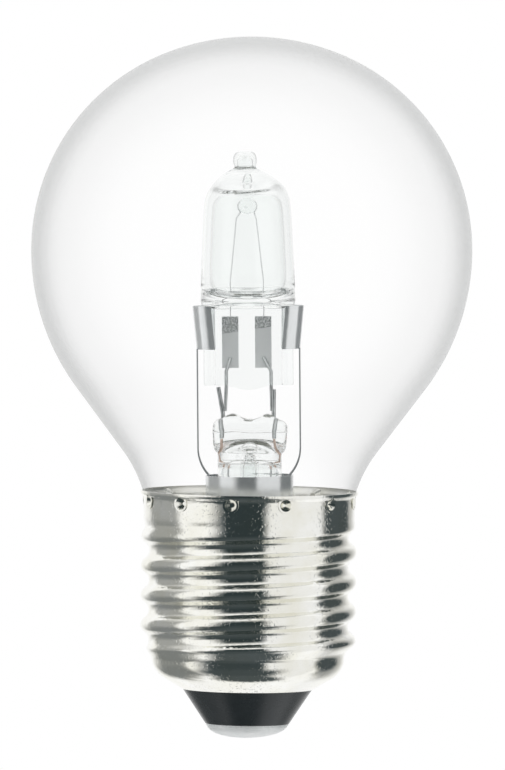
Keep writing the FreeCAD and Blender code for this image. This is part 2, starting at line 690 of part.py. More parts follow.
def build_support_arm(label, side):
    """A strip from the ring up to a rolled clip that holds one edge of the pinch."""
    body = new_body(label)
    thick = dim["strip_thickness"]
    foot = square_root(ring_inside * ring_inside
                       - dim["strip_width"] * dim["strip_width"] / 4) - dim["strip_clearance"]
    span = clip_back
    bend = ring_top + dim["arm_bend_rise"]
    across = span - foot
    curve = (across * across + dim["arm_bend_rise"] * dim["arm_bend_rise"]) / (2 * across)
    strip = [
        (foot - thick, ring_foot + dim["arm_foot_rise"]),
        (foot, ring_foot + dim["arm_foot_rise"]),
        (foot, ring_top, curve, side),
        (span, bend),
        (span, clip_bottom + thick / 2),
        (span - thick, clip_bottom + thick / 2),
        (span - thick, bend, curve - thick, -side),
        (foot - thick, ring_top + thick)]
    sketch = new_sketch(body, "XZ_Plane", "strip_outline")
    draw_outline(sketch, [(side * corner[0], *corner[1:]) for corner in strip])
    extrude(body, sketch, "strip", dim["strip_width"], both_sides=True)
    inner = dim["rib_thickness"] / 2 + dim["clip_slack"]
    outer = inner + thick
    centre = clip_back - outer
    tip = dim["clip_reach"] - outer
    section = new_sketch(body, "XY_Plane", "clip_section", forward=clip_bottom)
    inner_edge = square_root(inner * inner - tip * tip)
    outer_edge = square_root(outer * outer - tip * tip)
    draw_outline(section, [
        (side * (centre - tip), -outer_edge, outer, side),
        (side * clip_back, 0, outer, side),
        (side * (centre - tip), outer_edge),
        (side * (centre - tip), inner_edge, inner, -side),
        (side * (centre + inner), 0, inner, -side),
        (side * (centre - tip), -inner_edge)])
    clip = extrude(body, section, "clip", dim["clip_length"])
    clip.UseCustomVector = True
    clip.Direction = (side, 0, 1)
    clip.setExpression("Direction.x", (side * dim["clip_spread"]).formula)
    clip.setExpression("Direction.z", dim["clip_length"].formula)
    return body


def capsule_lead_route(side, foil_reach, drop, foot):
    """From the end of the lead, up beside the stem and onto the foil."""
    return bent_route([
        (side * foot, press_shoulder + dim["capsule_lead_rise"]),
        (side * drop, pinch_bottom),
        (side * drop, pinch_bottom + dim["lead_bend_rise"]),
        (side * foil_reach, foil_bottom_height + dim["foil_overlap"])])


def lead_sides():
    return (
        ("left", -1, dim["foil_left_reach"], dim["inner_lead_left_reach"],
         dim["lead_drop_left"], dim["lead_foot_left"]),
        ("right", 1, dim["foil_right_reach"], dim["inner_lead_right_reach"],
         dim["lead_drop_right"], dim["lead_foot_right"]))


def build_capsule():
    """The quartz capsule, pressed flat at its foot round the foils and leads."""
    body = new_body("capsule")
    pinch = dim["pinch_radius"]
    floor = pinch_bottom - dim["pinch_sag"]
    turn_solid(body, "glass", [
        (0, floor),
        (pinch, floor),
        (pinch, pinch_top),
        (capsule_radius, capsule_wide_height),
        (capsule_shoulder_radius, capsule_shoulder_height, dim["capsule_shoulder_round"], 1),
        (dome_edge_radius, dome_edge_height, dim["dome_curve_radius"], 1),
        (dim["tip_foot_radius"], dome_top_height),
        (0, dome_top_height)])
    round_size = dim["tip_round"]
    turn_solid(body, "tip", [
        (0, dome_edge_height + dim["dome_rise"] / 2),
        (dim["tip_neck_radius"], dome_edge_height + dim["dome_rise"] / 2),
        (dim["tip_neck_radius"], dome_top_height),
        (dim["tip_radius"], dome_top_height + round_size / 2),
        (dim["tip_radius"], tip_top_height - round_size, round_size, 1),
        (dim["tip_radius"] - round_size, tip_top_height),
        (0, tip_top_height)], sideways=-dim["tip_shift"])
    press_sides(body, "press", floor - 1, as_size(0))
    hollow = body.newObject("PartDesign::Boolean", "hollow")
    hollow.Type = "Cut"
    hollow.setObjects([build_cavity()])
    post = new_sketch(body, "XZ_Plane", "post_section")
    draw_circle(post, 0, post_height, dim["post_radius"])
    post_length = 2 * cavity_radius + dim["post_radius"] / 2
    extrude(body, post, "post", post_length, both_sides=True)
    press_pinch(body, floor)
    cut_seal_pockets(body)
    return body


def build_cavity():
    """The room inside the capsule, narrowed at its foot like the glass round it."""
    cavity = doc.addObject("PartDesign::Body", "capsule_cavity")
    high = cavity_top_height
    low = cavity_bottom_height
    turn_solid(cavity, "room", [
        (0, low),
        (cavity_radius - dim["cavity_bottom_round"], low, dim["cavity_bottom_round"], 1),
        (cavity_radius, low + dim["cavity_bottom_round"]),
        (cavity_radius, high - dim["cavity_top_round"], dim["cavity_top_round"], 1),
        (cavity_radius - dim["cavity_top_round"], high),
        (0, high)])
    press_sides(cavity, "wedge", pinch_top - dim["cavity_floor_rise"], dim["pinch_wall"])
    return cavity


def press_sides(body, name, low, wall):
    """Takes away the front and back where the tube was pressed flat, a wall inside the outer skin."""
    wide = capsule_radius + 1
    half = dim["rib_thickness"] / 2
    angle = dim["pinch_curve_angle"]
    hollow = dim["pinch_curve_radius"]
    swell = (capsule_radius - half) / (1 - cosine(angle)) - hollow
    turn_height = pinch_top + (hollow + wall) * sine(angle)
    turn_reach = half + hollow - (hollow + wall) * cosine(angle)
    top = pinch_top + (hollow + swell) * sine(angle)
    for face, side in (("front", -1), ("back", 1)):
        sketch = new_sketch(body, "YZ_Plane", f"{face}_{name}_outline")
        draw_outline(sketch, [
            (side * (half - wall), low),
            (side * wide, low),
            (side * wide, top),
            (side * (capsule_radius - wall), top, swell - wall, -side),
            (side * turn_reach, turn_height, hollow + wall, side),
            (side * (half - wall), pinch_top)])
        extrude(body, sketch, f"{face}_{name}", 2 * wide, both_sides=True, cut=True)


def press_pinch(body, floor):
    """The thin panel between the pinch's ribs, and its curved lower edge."""
    wide = capsule_radius + 1
    half = dim["rib_thickness"] / 2
    flat = dim["pinch_thickness"] / 2
    edge = square_root(dim["pinch_radius"] * dim["pinch_radius"] - half * half) - dim["rib_width"]
    inner = edge - (half - flat) * dim["rib_slope"]
    outer = edge + dim["rib_slope"]
    panels = new_sketch(body, "XY_Plane", "panel_outlines", forward=floor - 1)
    for side in (-1, 1):
        draw_outline(panels, [
            (-inner, side * flat),
            (inner, side * flat),
            (outer, side * (half + 1)),
            (-outer, side * (half + 1))])
    extrude(body, panels, "panels", pinch_top - floor + 1, cut=True, backwards=True)
    foot = new_sketch(body, "XZ_Plane", "lower_edge_outline")
    dip = dim["pinch_radius"] / 2
    draw_outline(foot, [
        (-wide, floor - 1),
        (wide, floor - 1),
        (wide, pinch_bottom),
        (dip, pinch_bottom, dip * 3, -1),
        (0, floor, dip * 3, -1),
        (-dip, pinch_bottom),
        (-wide, pinch_bottom)])
    extrude(body, foot, "lower_edge", 2 * wide, both_sides=True, cut=True)


def cut_seal_pockets(body):
    """Room for the foils and leads that the pinch is melted round."""
    gap = dim["wire_clearance"]
    foils = new_sketch(body, "XZ_Plane", "foil_places")
    half = dim["foil_width"] / 2 + gap
    for name, side, foil_reach, inner_reach, drop, foot in lead_sides():
        draw_rectangle(
            foils, side * foil_reach - half, foil_bottom_height - gap,
            side * foil_reach + half, foil_bottom_height + dim["foil_length"] + gap)
    extrude(body, foils, "foil_slots", dim["foil_thickness"] + 2 * gap, both_sides=True, cut=True)
    for name, side, foil_reach, inner_reach, drop, foot in lead_sides():
        route = capsule_lead_route(side, foil_reach, drop, foot)
        run_wire(body, f"{name}_lead_channel", route, dim["capsule_lead_radius"] + gap,
                 forward=capsule_lead_front, cut=True)
        bottom = inner_lead_bottom() - gap
        hole = new_sketch(body, "XY_Plane", f"{name}_inner_mouth", forward=bottom)
        draw_circle(hole, side * inner_reach, -inner_lead_front, dim["inner_lead_radius"] + gap)
        extrude(body, hole, f"{name}_inner_channel", coil_foot_height - bottom,
                cut=True, backwards=True)


def inner_lead_bottom():
    return foil_bottom_height + dim["foil_length"] - dim["foil_overlap"]


def build_filament():
    """The coiled filament as its outer tube: up one leg, over the post and down the other."""
    body = new_body("filament")
    wrap = dim["post_radius"] + dim["filament_clearance"] + dim["filament_radius"]
    centre = post_height
    low = wrap * sine(as_size(45))
    foot = coil_foot_height + dim["joint_gap"]
    kink = post_height - dim["kink_drop"]
    run_wire(body, "coil", [
        (-dim["inner_lead_left_reach"], foot),
        (-dim["kink_left"], kink),
        (-low, centre - low, wrap, -1),
        (-wrap, centre, wrap, -1),
        (0, centre + wrap, wrap, -1),
        (wrap, centre, wrap, -1),
        (low, centre - low),
        (dim["kink_right"], kink),
        (dim["inner_lead_right_reach"], foot)], dim["filament_radius"], forward=inner_lead_front)
    return body


def build_capsule_wires():
    """Foils, inner leads and outer leads of the capsule, left and right."""
    bodies = []
    for name, side, foil_reach, inner_reach, drop, foot in lead_sides():
        foil = new_body(f"foil_{name}")
        sketch = new_sketch(foil, "XZ_Plane", "foil_outline")
        half = dim["foil_width"] / 2
        draw_rectangle(sketch, side * foil_reach - half, foil_bottom_height,
                       side * foil_reach + half, foil_bottom_height + dim["foil_length"])
        extrude(foil, sketch, "foil_sheet", dim["foil_thickness"], both_sides=True)
        inner = new_body(f"inner_lead_{name}")
        run_wire(inner, "lead", [
            (side * inner_reach, inner_lead_bottom()),
            (side * inner_reach, coil_foot_height)],
            dim["inner_lead_radius"], forward=inner_lead_front)
        outer = new_body(f"capsule_lead_{name}")
        run_wire(outer, "lead", capsule_lead_route(side, foil_reach, drop, foot),
                 dim["capsule_lead_radius"], forward=capsule_lead_front)
        bodies += [foil, inner, outer]
    return bodies


def build_stem_wires():
    """The thick leads above the press and the sealing wires in it."""
    back = -stem_lead_back
    left, right = -dim["stem_lead_left_reach"], dim["stem_lead_right_reach"]
    run_wire(new_body("stem_lead_left"), "lead", bent_route([
        (left, stem_lead_foot_height),
        (left, press_shoulder),
        (-dim["stub_reach"], press_shoulder + dim["stub_rise"])]),
        dim["stem_lead_radius"], forward=back)
    run_wire(new_body("stem_lead_right"), "lead", [
        (right, stem_lead_foot_height),
        (right, press_shoulder + dim["right_lead_rise"])], dim["stem_lead_radius"], forward=back)
    for name, side, place in stem_sides():
        run_wire(new_body(f"sealing_wire_{name}"), "wire", sealing_wire_route(side, place),
                 dim["sealing_wire_radius"], forward=back)


def build_centre_wires():
    """The feed of the centre contact: a wire, a thin fuse wire and a wire again."""
    back = -stem_lead_back
    place = -supply_reach
    gap = dim["joint_gap"]
    run_wire(new_body("centre_lead_upper"), "wire", [
        (place, fuse_top_height + gap),
        (place, sealing_wire_end - gap)], dim["supply_radius"], forward=back)
    run_wire(new_body("fuse_wire"), "wire", [
        (place, fuse_bottom_height),
        (place, fuse_top_height)], dim["fuse_radius"], forward=back)
    run_wire(new_body("centre_lead_lower"), "wire", bent_route([
        (0, contact_plate_bottom + gap),
        (0, insulator_inner_height + dim["wire_bend"] * 2),
        (place, fuse_bottom_height - dim["wire_bend"] * 2),
        (place, fuse_bottom_height - gap)]), dim["supply_radius"], forward=back)


def build_insulator():
    """The black glass that holds the contact in the shell."""
    body = new_body("insulator")
    gap = dim["insulator_clearance"]
    slope = dim["cap_base_slope"]
    flange = insulator_top_radius + dim["insulator_flange_reach"]
    bore = dim["insulator_bore_radius"]
    step_height = (base_height + dim["cap_wall"] * cosine(slope)
                   + gap / cosine(slope) - gap * tangent(slope))
    flange_height = step_height + dim["insulator_flange_reach"] * tangent(slope)
    turn_solid(body, "black_glass", [
        (bore, dim["insulator_bottom_height"]),
        (insulator_foot_radius, dim["insulator_bottom_height"]),
        (insulator_top_radius, base_height),
        (insulator_top_radius, step_height),
        (flange, flange_height),
        (flange, insulator_inner_height),
        (bore, insulator_inner_height)])


def build_contact_plate():
    body = new_body("contact_plate")
    sketch = new_sketch(body, "XY_Plane", "plate_outline", forward=contact_plate_bottom)
    draw_circle(sketch, 0, 0, contact_plate_radius)
    draw_circle(sketch, 0, 0, dim["contact_hole_radius"])
    extrude(body, sketch, "plate", dim["contact_plate_thickness"])


def bind(item, **sizes):
    """Ties an object's own sizes to the sheet."""
    for name, size in sizes.items():
        item.setExpression(name.replace("__", "."), as_size(size).formula)


def build_contact_solder():
    """A low dome of solder that has slumped a little to one side."""
    edge = contact_plate_radius - dim["contact_dome_inset"]
    shift = dim["contact_dome_shift"]
    drop = doc.addObject("Part::Ellipsoid", "solder_drop")
    bind(drop, Radius1=contact_plate_bottom, Radius2=edge + shift, Radius3=edge + shift,
         Placement__Base__x=-shift, Placement__Base__z=contact_plate_bottom)
    mould = doc.addObject("Part::Cylinder", "solder_edge")
    bind(mould, Radius=edge, Height=contact_plate_bottom)
    dome = doc.addObject("Part::Common", "contact_solder")
    dome.Base = drop
    dome.Tool = mould
    PARTS.append(dome)


def build_side_solder():
    """The blob on the back of the rim that joins the side wire to the shell."""
    body = new_body("side_solder")
    sketch = new_sketch(body, "XZ_Plane", "blob_outline",
                        sideways=lip_outside + dim["joint_gap"], upward=notch_height)
    half = dim["solder_width"] / 2
    stand = dim["solder_stand"]
    bulge = (half * half + stand * stand) / (2 * stand)
    draw_outline(sketch, [
        (0, 0),
        (stand, 0, bulge, 1),
        (0, half)])
    feature = body.newObject("PartDesign::Revolution", "blob")
    feature.Profile = sketch
    feature.ReferenceAxis = (sketch, ["H_Axis"])
    feature.Angle = 360
    body.Placement = turned(dim["solder_angle"].value)


def turned(angle):
    return FreeCAD.Placement(
        FreeCAD.Vector(), FreeCAD.Rotation(FreeCAD.Vector(0, 0, 1), angle))


def around(radius, angle, height):
    """A place round the lamp's axis, its angle in degrees from +X towards +Y."""
    turn = math.radians(angle)
    return FreeCAD.Vector(radius * math.cos(turn), radius * math.sin(turn), height)


def bent_path(points, bend):
    """Straight runs through the points, joined by tangent arcs."""
    edges = []
    last = points[0]
    for before, corner, after in zip(points, points[1:], points[2:]):
        inward = (before - corner).normalize()
        outward = (after - corner).normalize()
        turn = math.pi - inward.getAngle(outward)
        cut = bend * math.tan(turn / 2)
        start = corner + inward * cut
        finish = corner + outward * cut
        middle_way = (inward + outward).normalize()
        centre = corner + middle_way * (bend / math.cos(turn / 2))
        edges.append(Part.LineSegment(last, start).toShape())
        edges.append(Part.Arc(start, centre - middle_way * bend, finish).toShape())
        last = finish
    edges.append(Part.LineSegment(last, points[-1]).toShape())
    return Part.Wire(edges)


def build_side_lead():
    """The wire from the stem out under the flare, up beside the neck and through the rim."""
    angle = dim["solder_angle"].value
    radius = dim["supply_radius"].value
    place = (supply_reach.value, stem_lead_back.value)
    beside_neck = (neck_seat_radius + dim["wire_clearance"]).value + radius
    path = bent_path([
        FreeCAD.Vector(*place, (sealing_wire_end - dim["joint_gap"]).value),
        FreeCAD.Vector(*place, supply_turn_height.value),
        around((neck_seat_radius - dim["supply_tuck"]).value, angle,
               (supply_turn_height - dim["supply_slant"]).value),
        around(beside_neck, angle, (neck_end_height - dim["glass_wall"]).value),
        around(beside_neck, angle, notch_height.value),
        around(lip_outside.value, angle, notch_height.value)], dim["wire_bend"].value)
    section = Part.Wire(Part.Circle(
        FreeCAD.Vector(*place, path.Edges[0].Vertexes[0].Z), FreeCAD.Vector(0, 0, 1), radius).toShape())
    add_feature("side_lead", path.makePipeShell([section], True, False))


def add_feature(label, shape):
    feature = doc.addObject("Part::Feature", label)
    feature.Shape = shape
    PARTS.append(feature)


# The rolled shell: one sheet whose wall follows the thread inside and out

CAP_ROW_STEP = 0.24
CAP_SECTORS = 4
CAP_COLUMNS = 12


def smooth_step(height, start, length):
    share = min(max((height - start) / length, 0.0), 1.0)
    return share * share * (3 - 2 * share)


def thread_wave(angle, height):
    """How far the thread stands out, from 0 at its root to 1 at its crest."""
    pitch = dim["thread_pitch"].value
    depth = dim["thread_depth"].value
    turns = (height - thread_crest_height.value) / pitch - angle / (2 * math.pi)
    away = abs(turns - round(turns)) * pitch
    bend = (pitch ** 2 / 16 + depth ** 2 / 4) / depth
    if away < pitch / 4:
        drop = bend - math.sqrt(bend ** 2 - away ** 2)
    else:
        drop = depth - bend + math.sqrt(bend ** 2 - (pitch / 2 - away) ** 2)
    return 1 - drop / depth


def cap_outline(inset):
    """Radius, height and thread depth from the shell's lower edge to its lip."""
    slope = math.radians(dim["cap_base_slope"].value)
    corner_end = math.radians(dim["cap_corner_end"].value)
    corner = dim["cap_corner_radius"].value
    reach = dim["cap_base_reach"].value
    hole = cap_hole_radius.value
    base = base_height.value
    rim = rim_height.value
    root = thread_root_radius.value
    collar = collar_radius.value
    depth = dim["thread_depth"].value
    outline = []
    rows = round(reach / math.cos(slope) / CAP_ROW_STEP)
    for row in range(rows):
        run = reach * row / rows
        outline.append((hole + run - inset * math.sin(slope),
                        base + run * math.tan(slope) + inset * math.cos(slope), 0.0))
    wall_radius = cap_wall_radius.value
    centre_radius = wall_radius - corner * math.sin(corner_end)
    centre_height = base + reach * math.tan(slope) + corner * math.cos(slope)
    rows = round(corner * (corner_end - slope) / CAP_ROW_STEP)
    for row in range(rows):
        turn = slope + (corner_end - slope) * row / rows
        outline.append((centre_radius + (corner - inset) * math.sin(turn),
                        centre_height - (corner - inset) * math.cos(turn), 0.0))
    wall_height = centre_height - corner * math.cos(corner_end)
    rows = round((rim - wall_height) / CAP_ROW_STEP)
    for row in range(rows + 1):
        height = wall_height + (rim - wall_height) * row / rows
        grown = smooth_step(height, wall_height, dim["thread_fade_in"].value)
        faded = smooth_step(height, thread_end_height.value, dim["thread_fade_out"].value)
        flared = smooth_step(height, rim - dim["rim_flare"].value,
                             (dim["rim_flare"] - dim["rim_lip"]).value)
        radius = (wall_radius + (root - wall_radius) * grown + (collar - root) * faded
                  + (lip_outside.value - collar) * flared)
        outline.append((radius - inset, height, depth * grown * (1 - faded)))
    return outline


def spline_through(points):
    curve = Part.BSplineCurve()
    curve.interpolate(Points=points, Parameters=[float(index) for index in range(len(points))])
    return curve


def smooth_surface(columns):
    """A surface through columns of points, with the same edge curve as its neighbour's."""
    upright = [spline_through(column) for column in columns]
    rows = zip(*[curve.getPoles() for curve in upright])
    across = [spline_through(list(row)) for row in rows]
    poles = [list(column) for column in zip(*[curve.getPoles() for curve in across])]
    surface = Part.BSplineSurface()
    surface.buildFromPolesMultsKnots(
        poles, across[0].getMultiplicities(), upright[0].getMultiplicities(),
        across[0].getKnots(), upright[0].getKnots(), False, False,
        across[0].Degree, upright[0].Degree)
    return surface


def cap_skin(inset, sector):
    """One sector of the shell's outer skin, or of the skin an inset inside it."""
    outline = cap_outline(inset)
    columns = []
    for step in range(CAP_COLUMNS + 1):
        angle = 2 * math.pi * (sector + step / CAP_COLUMNS) / CAP_SECTORS
        columns.append([
            around(radius + depth * thread_wave(angle, height), math.degrees(angle), height)
            for radius, height, depth in outline])
    return smooth_surface(columns)


def rolled_shell():
    faces = []
    for sector in range(CAP_SECTORS):
        outer = cap_skin(0.0, sector)
        inner = cap_skin(dim["cap_wall"].value, sector)
        faces += [outer.toShape(), inner.toShape()]
        for outer_end, inner_end in zip(outer.bounds()[2:], inner.bounds()[2:]):
            faces.append(Part.makeRuledSurface(
                outer.vIso(outer_end).toShape(), inner.vIso(inner_end).toShape()))
    sheets = Part.Compound(faces)
    sheets.sewShape(0.001)
    return Part.Solid(sheets.Shells[0])


def build_cap_shell():
    """The rolled shell with its punch marks and the notch for the side wire."""
    wall = dim["cap_wall"].value
    collar = collar_radius.value
    mouth = dim["dimple_radius"].value
    tip = dim["dimple_tip_radius"].value
    depth = dim["dimple_depth"].value
    lip = dim["dimple_lip"].value
    height = (rim_height - dim["dimple_drop"]).value
    count = round(dim["dimple_count"].value)
    margin = (lip_outside - collar_radius).value
    dents = []
    bumps = []
    for index in range(count):
        angle = dim["dimple_first_angle"].value - 90 + 360 * index / count
        inward = around(-1, angle, 0)
        dents.append(Part.makeCone(mouth, tip, depth + lip,
                                   around(collar + lip, angle, height), inward))
        dents.append(Part.makeCylinder(mouth, margin, around(collar + margin + lip, angle, height),
                                       inward))
        bumps.append(Part.makeCone(mouth + wall, tip + wall, depth + wall + lip,
                                   around(collar + lip, angle, height), inward))
    notch_width = dim["notch_width"].value
    notch_low = notch_height.value - notch_width / 2
    notch = Part.makeBox(collar, notch_width, collar,
                         FreeCAD.Vector(collar_inside.value - wall, -notch_width / 2, notch_low))
    notch.Placement = turned(dim["solder_angle"].value).multiply(notch.Placement)
    shell = rolled_shell().fuse(bumps).cut(dents + [notch])
    add_feature("cap_shell", shell.Solids[0])


def lean_burner(bodies):
    """Leans the frame, the capsule and all that it holds towards -X."""
    pivot = FreeCAD.Vector(0, 0, (ring_top - dim["burner_pivot_drop"]).value)
    tilt = FreeCAD.Rotation(FreeCAD.Vector(0, 1, 0), -dim["burner_lean"].value)
    for body in bodies:
        body.Placement = FreeCAD.Placement(FreeCAD.Vector(), tilt, pivot)


build_outer_bulb()
build_stem()
build_exhaust_tube()
leaning = [
    build_support_ring(), build_support_arm("support_arm_left", -1),
    build_support_arm("support_arm_right", 1), build_capsule(), build_filament()]
leaning += build_capsule_wires()
lean_burner(leaning)
build_stem_wires()
build_centre_wires()
build_side_lead()
build_cap_shell()
build_insulator()
build_contact_plate()
build_contact_solder()
build_side_solder()
doc.recompute()

faults = [item.Name for item in doc.Objects if "Invalid" in item.State or "Error" in item.State]
faults += [part.Label for part in PARTS if part.Shape.isNull() or not part.Shape.isValid()]
if faults:
    raise RuntimeError(f"these did not build: {faults}")

os.makedirs("parts", exist_ok=True)
for part in PARTS:
    part.Shape.exportStep(f"parts/{part.Label}.step")
    print(part.Label, round(part.Shape.Volume, 3), len(part.Shape.Solids))
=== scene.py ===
import bpy
import bmesh
import math
import mathutils
from mathutils import Matrix, Vector


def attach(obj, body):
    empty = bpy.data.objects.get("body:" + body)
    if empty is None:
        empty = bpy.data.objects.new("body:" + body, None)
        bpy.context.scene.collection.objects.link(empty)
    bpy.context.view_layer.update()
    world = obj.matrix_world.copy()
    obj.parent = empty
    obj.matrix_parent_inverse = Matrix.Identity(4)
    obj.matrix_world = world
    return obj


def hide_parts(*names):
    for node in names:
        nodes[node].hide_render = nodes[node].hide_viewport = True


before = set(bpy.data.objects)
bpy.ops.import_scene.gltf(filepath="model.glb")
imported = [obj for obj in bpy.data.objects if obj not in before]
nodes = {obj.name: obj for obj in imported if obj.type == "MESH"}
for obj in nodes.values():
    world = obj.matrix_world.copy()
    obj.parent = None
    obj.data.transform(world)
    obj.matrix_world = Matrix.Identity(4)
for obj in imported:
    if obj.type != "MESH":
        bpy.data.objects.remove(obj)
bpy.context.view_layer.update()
MM = 0.001
MELT_SEED = 5
scene = bpy.context.scene
mathutils.noise.seed_set(MELT_SEED)


# Nearly all of a noise's values lie between the first two, and the third is the strength of its finer grain

NOISE_LOW = 0.3
NOISE_HIGH = 0.7
NOISE_FINENESS = 0.55


# Shader tools

def new_material(name):
    material = bpy.data.materials.new(name)
    material.use_nodes = True
    tree = material.node_tree
    shader = next(node for node in tree.nodes if node.type == "BSDF_PRINCIPLED")
    return material, tree, shader


def place(tree):
    """Places on the piece, in metres."""
    return tree.nodes.new("ShaderNodeTexCoord").outputs["Object"]


def noise(tree, vector, scale, detail):
    texture = tree.nodes.new("ShaderNodeTexNoise")
    texture.inputs["Scale"].default_value = scale
    texture.inputs["Detail"].default_value = detail
    texture.inputs["Roughness"].default_value = NOISE_FINENESS
    tree.links.new(vector, texture.inputs["Vector"])
    return texture.outputs["Fac"]


def spread(tree, value, low, high, from_low=NOISE_LOW, from_high=NOISE_HIGH):
    node = tree.nodes.new("ShaderNodeMapRange")
    node.inputs["From Min"].default_value = from_low
    node.inputs["From Max"].default_value = from_high
    node.inputs["To Min"].default_value = low
    node.inputs["To Max"].default_value = high
    tree.links.new(value, node.inputs["Value"])
    return node.outputs["Result"]


def ramp(tree, value, stops):
    node = tree.nodes.new("ShaderNodeValToRGB")
    elements = node.color_ramp.elements
    while len(elements) < len(stops):
        elements.new(0.5)
    for element, (position, colour) in zip(elements, stops):
        element.position = position
        element.color = (*colour, 1.0)
    tree.links.new(value, node.inputs["Fac"])
    return node.outputs["Color"]


def drifting(tree, value, low, high):
    """A colour that drifts between two as a noise climbs."""
    return ramp(tree, value, [(NOISE_LOW, low), (NOISE_HIGH, high)])


def bump(tree, shader, height, distance):
    node = tree.nodes.new("ShaderNodeBump")
    node.inputs["Strength"].default_value = 1.0
    node.inputs["Distance"].default_value = distance
    tree.links.new(height, node.inputs["Height"])
    tree.links.new(node.outputs["Normal"], shader.inputs["Normal"])


def calculate(tree, operation, *values):
    node = tree.nodes.new("ShaderNodeMath")
    node.operation = operation
    for socket, value in zip(node.inputs, values):
        if isinstance(value, (int, float)):
            socket.default_value = value
        else:
            tree.links.new(value, socket)
    return node.outputs[0]


def split(tree, vector):
    node = tree.nodes.new("ShaderNodeSeparateXYZ")
    tree.links.new(vector, node.inputs["Vector"])
    return node.outputs


def mixed_shaders(tree, share, first, second):
    node = tree.nodes.new("ShaderNodeMixShader")
    tree.links.new(share, node.inputs["Fac"])
    tree.links.new(first, node.inputs[1])
    tree.links.new(second, node.inputs[2])
    return node.outputs["Shader"]


def clear_glass(name, tint, index, wave_scale, wave_height):
    """Clear glass with the faint waviness of blown or drawn glass and a trace of colour."""
    material, tree, shader = new_material(name)
    waves = noise(tree, place(tree), wave_scale, 2.0)
    paler = [min(channel + 0.01, 1.0) for channel in tint]
    tree.links.new(drifting(tree, waves, tint, paler), shader.inputs["Base Color"])
    shader.inputs["Roughness"].default_value = 0.0
    shader.inputs["IOR"].default_value = index
    shader.inputs["Transmission Weight"].default_value = 1.0
    bump(tree, shader, waves, wave_height)
    return material


# A metal's colour drifts between these values of its noise, and its grain is this much finer than the drift

METAL_DRIFT = (0.32, 0.68)
METAL_GRAIN = 6


def metal(name, low, high, rough_low, rough_high, scale, height, bare=1.0):
    """Bare or plated metal with drifting colour and gloss and a fine surface.

    A dull oxide film over some of it scatters the light, and bare is the share without it.
    """
    material, tree, shader = new_material(name)
    vector = place(tree)
    drift = noise(tree, vector, scale, 5.0)
    tree.links.new(ramp(tree, drift, list(zip(METAL_DRIFT, (low, high)))), shader.inputs["Base Color"])
    grain = noise(tree, vector, scale * METAL_GRAIN, 4.0)
    tree.links.new(spread(tree, grain, rough_low, rough_high), shader.inputs["Roughness"])
    shader.inputs["Metallic"].default_value = bare
    bump(tree, shader, grain, height)
    return material


# The thin wall of the globe: the two greys of the shade painted at its limb, its waves, and how thickly that
# painted shade covers it at each glancing angle

LIMB_SHADE_GREYS = ((0.36, 0.375, 0.375), (0.40, 0.415, 0.415))
WALL_WAVES = 60
WALL_WAVE_HEIGHT = 20e-6
LIMB_SHADE_COVER = [
    (0.0, 0.002), (0.16, 0.003), (0.23, 0.010), (0.314, 0.026), (0.394, 0.045), (0.459, 0.058),
    (0.512, 0.071), (0.564, 0.103), (0.604, 0.136), (0.637, 0.176), (0.661, 0.196), (0.688, 0.229),
    (0.717, 0.257), (0.75, 0.285), (0.788, 0.305), (0.836, 0.315), (1.0, 0.315)]
INSIDE = [(0.0, 0.001), (1.0, 0.002)]


def thin_clear_glass(name, cover_rows):
    """A thin blown wall: clear where it is seen square on, with a grey shade painted on more thickly towards
    the limb.
    """
    material, tree, shader = new_material(name)
    waves = noise(tree, place(tree), WALL_WAVES, 2.0)
    # The grey base colour is painted shade: the alpha below lays it over the wall more thickly the more
    # glancing the view
    tree.links.new(drifting(tree, waves, *LIMB_SHADE_GREYS), shader.inputs["Base Color"])
    shader.inputs["Roughness"].default_value = 0.3
    shader.inputs["IOR"].default_value = 1.5
    facing = tree.nodes.new("ShaderNodeLayerWeight")
    facing.inputs["Blend"].default_value = 0.5
    cover = ramp(tree, facing.outputs["Facing"], [(turn, (value,) * 3) for turn, value in cover_rows])
    tree.links.new(cover, shader.inputs["Alpha"])
    bump(tree, shader, waves, WALL_WAVE_HEIGHT)
    return material


globe_glass = thin_clear_glass("globe_glass", LIMB_SHADE_COVER)
globe_inside = thin_clear_glass("globe_inside", INSIDE)
stem_glass = clear_glass("stem_glass", (0.95, 0.965, 0.96), 1.52, 250.0, 30e-6)
quartz_glass = clear_glass("quartz_glass", (0.955, 0.97, 0.964), 1.46, 200.0, 20e-6)
frame_steel = metal("frame_steel", (0.92, 0.94, 0.95), (0.96, 0.98, 0.99), 0.13, 0.19, 900, 1e-6, 0.62)
coil_tungsten = metal("coil_tungsten", (0.84, 0.86, 0.86), (0.92, 0.94, 0.94), 0.4, 0.5, 3000, 2e-6, 0.2)
lead_wire = metal("lead_wire", (0.52, 0.54, 0.54), (0.76, 0.78, 0.78), 0.25, 0.4, 1200, 3e-6, 0.85)
inner_wire = metal("inner_wire", (0.96, 0.97, 0.97), (0.99, 0.99, 0.99), 0.5, 0.6, 1500, 2e-6, 0.0)
sealing_wire = metal("sealing_wire", (0.82, 0.60, 0.50), (0.93, 0.76, 0.66), 0.35, 0.5, 1500, 3e-6, 0.7)
solder = metal("solder", (0.88, 0.91, 0.91), (0.97, 0.985, 0.985), 0.35, 0.55, 900, 12e-6, 0.2)
contact_metal = metal("contact_metal", (0.86, 0.89, 0.89), (0.96, 0.98, 0.98), 0.35, 0.5, 900, 6e-6, 0.2)


# The cap's plating: its two colours, its roughness inside, how much glossier it is outside, and its grains

PLATING = ((0.88, 0.87, 0.79), (0.96, 0.96, 0.93))
PLATING_DRIFT = 260
DULL_INSIDE = (0.31, 0.36)
POLISH = 0.26
INWARD = (-0.006, -0.002)
PLATING_GRAINS = 3000
GRAINS_STAND_OUT = (0.58, 0.72)
GRAIN_HEIGHT = 9e-6


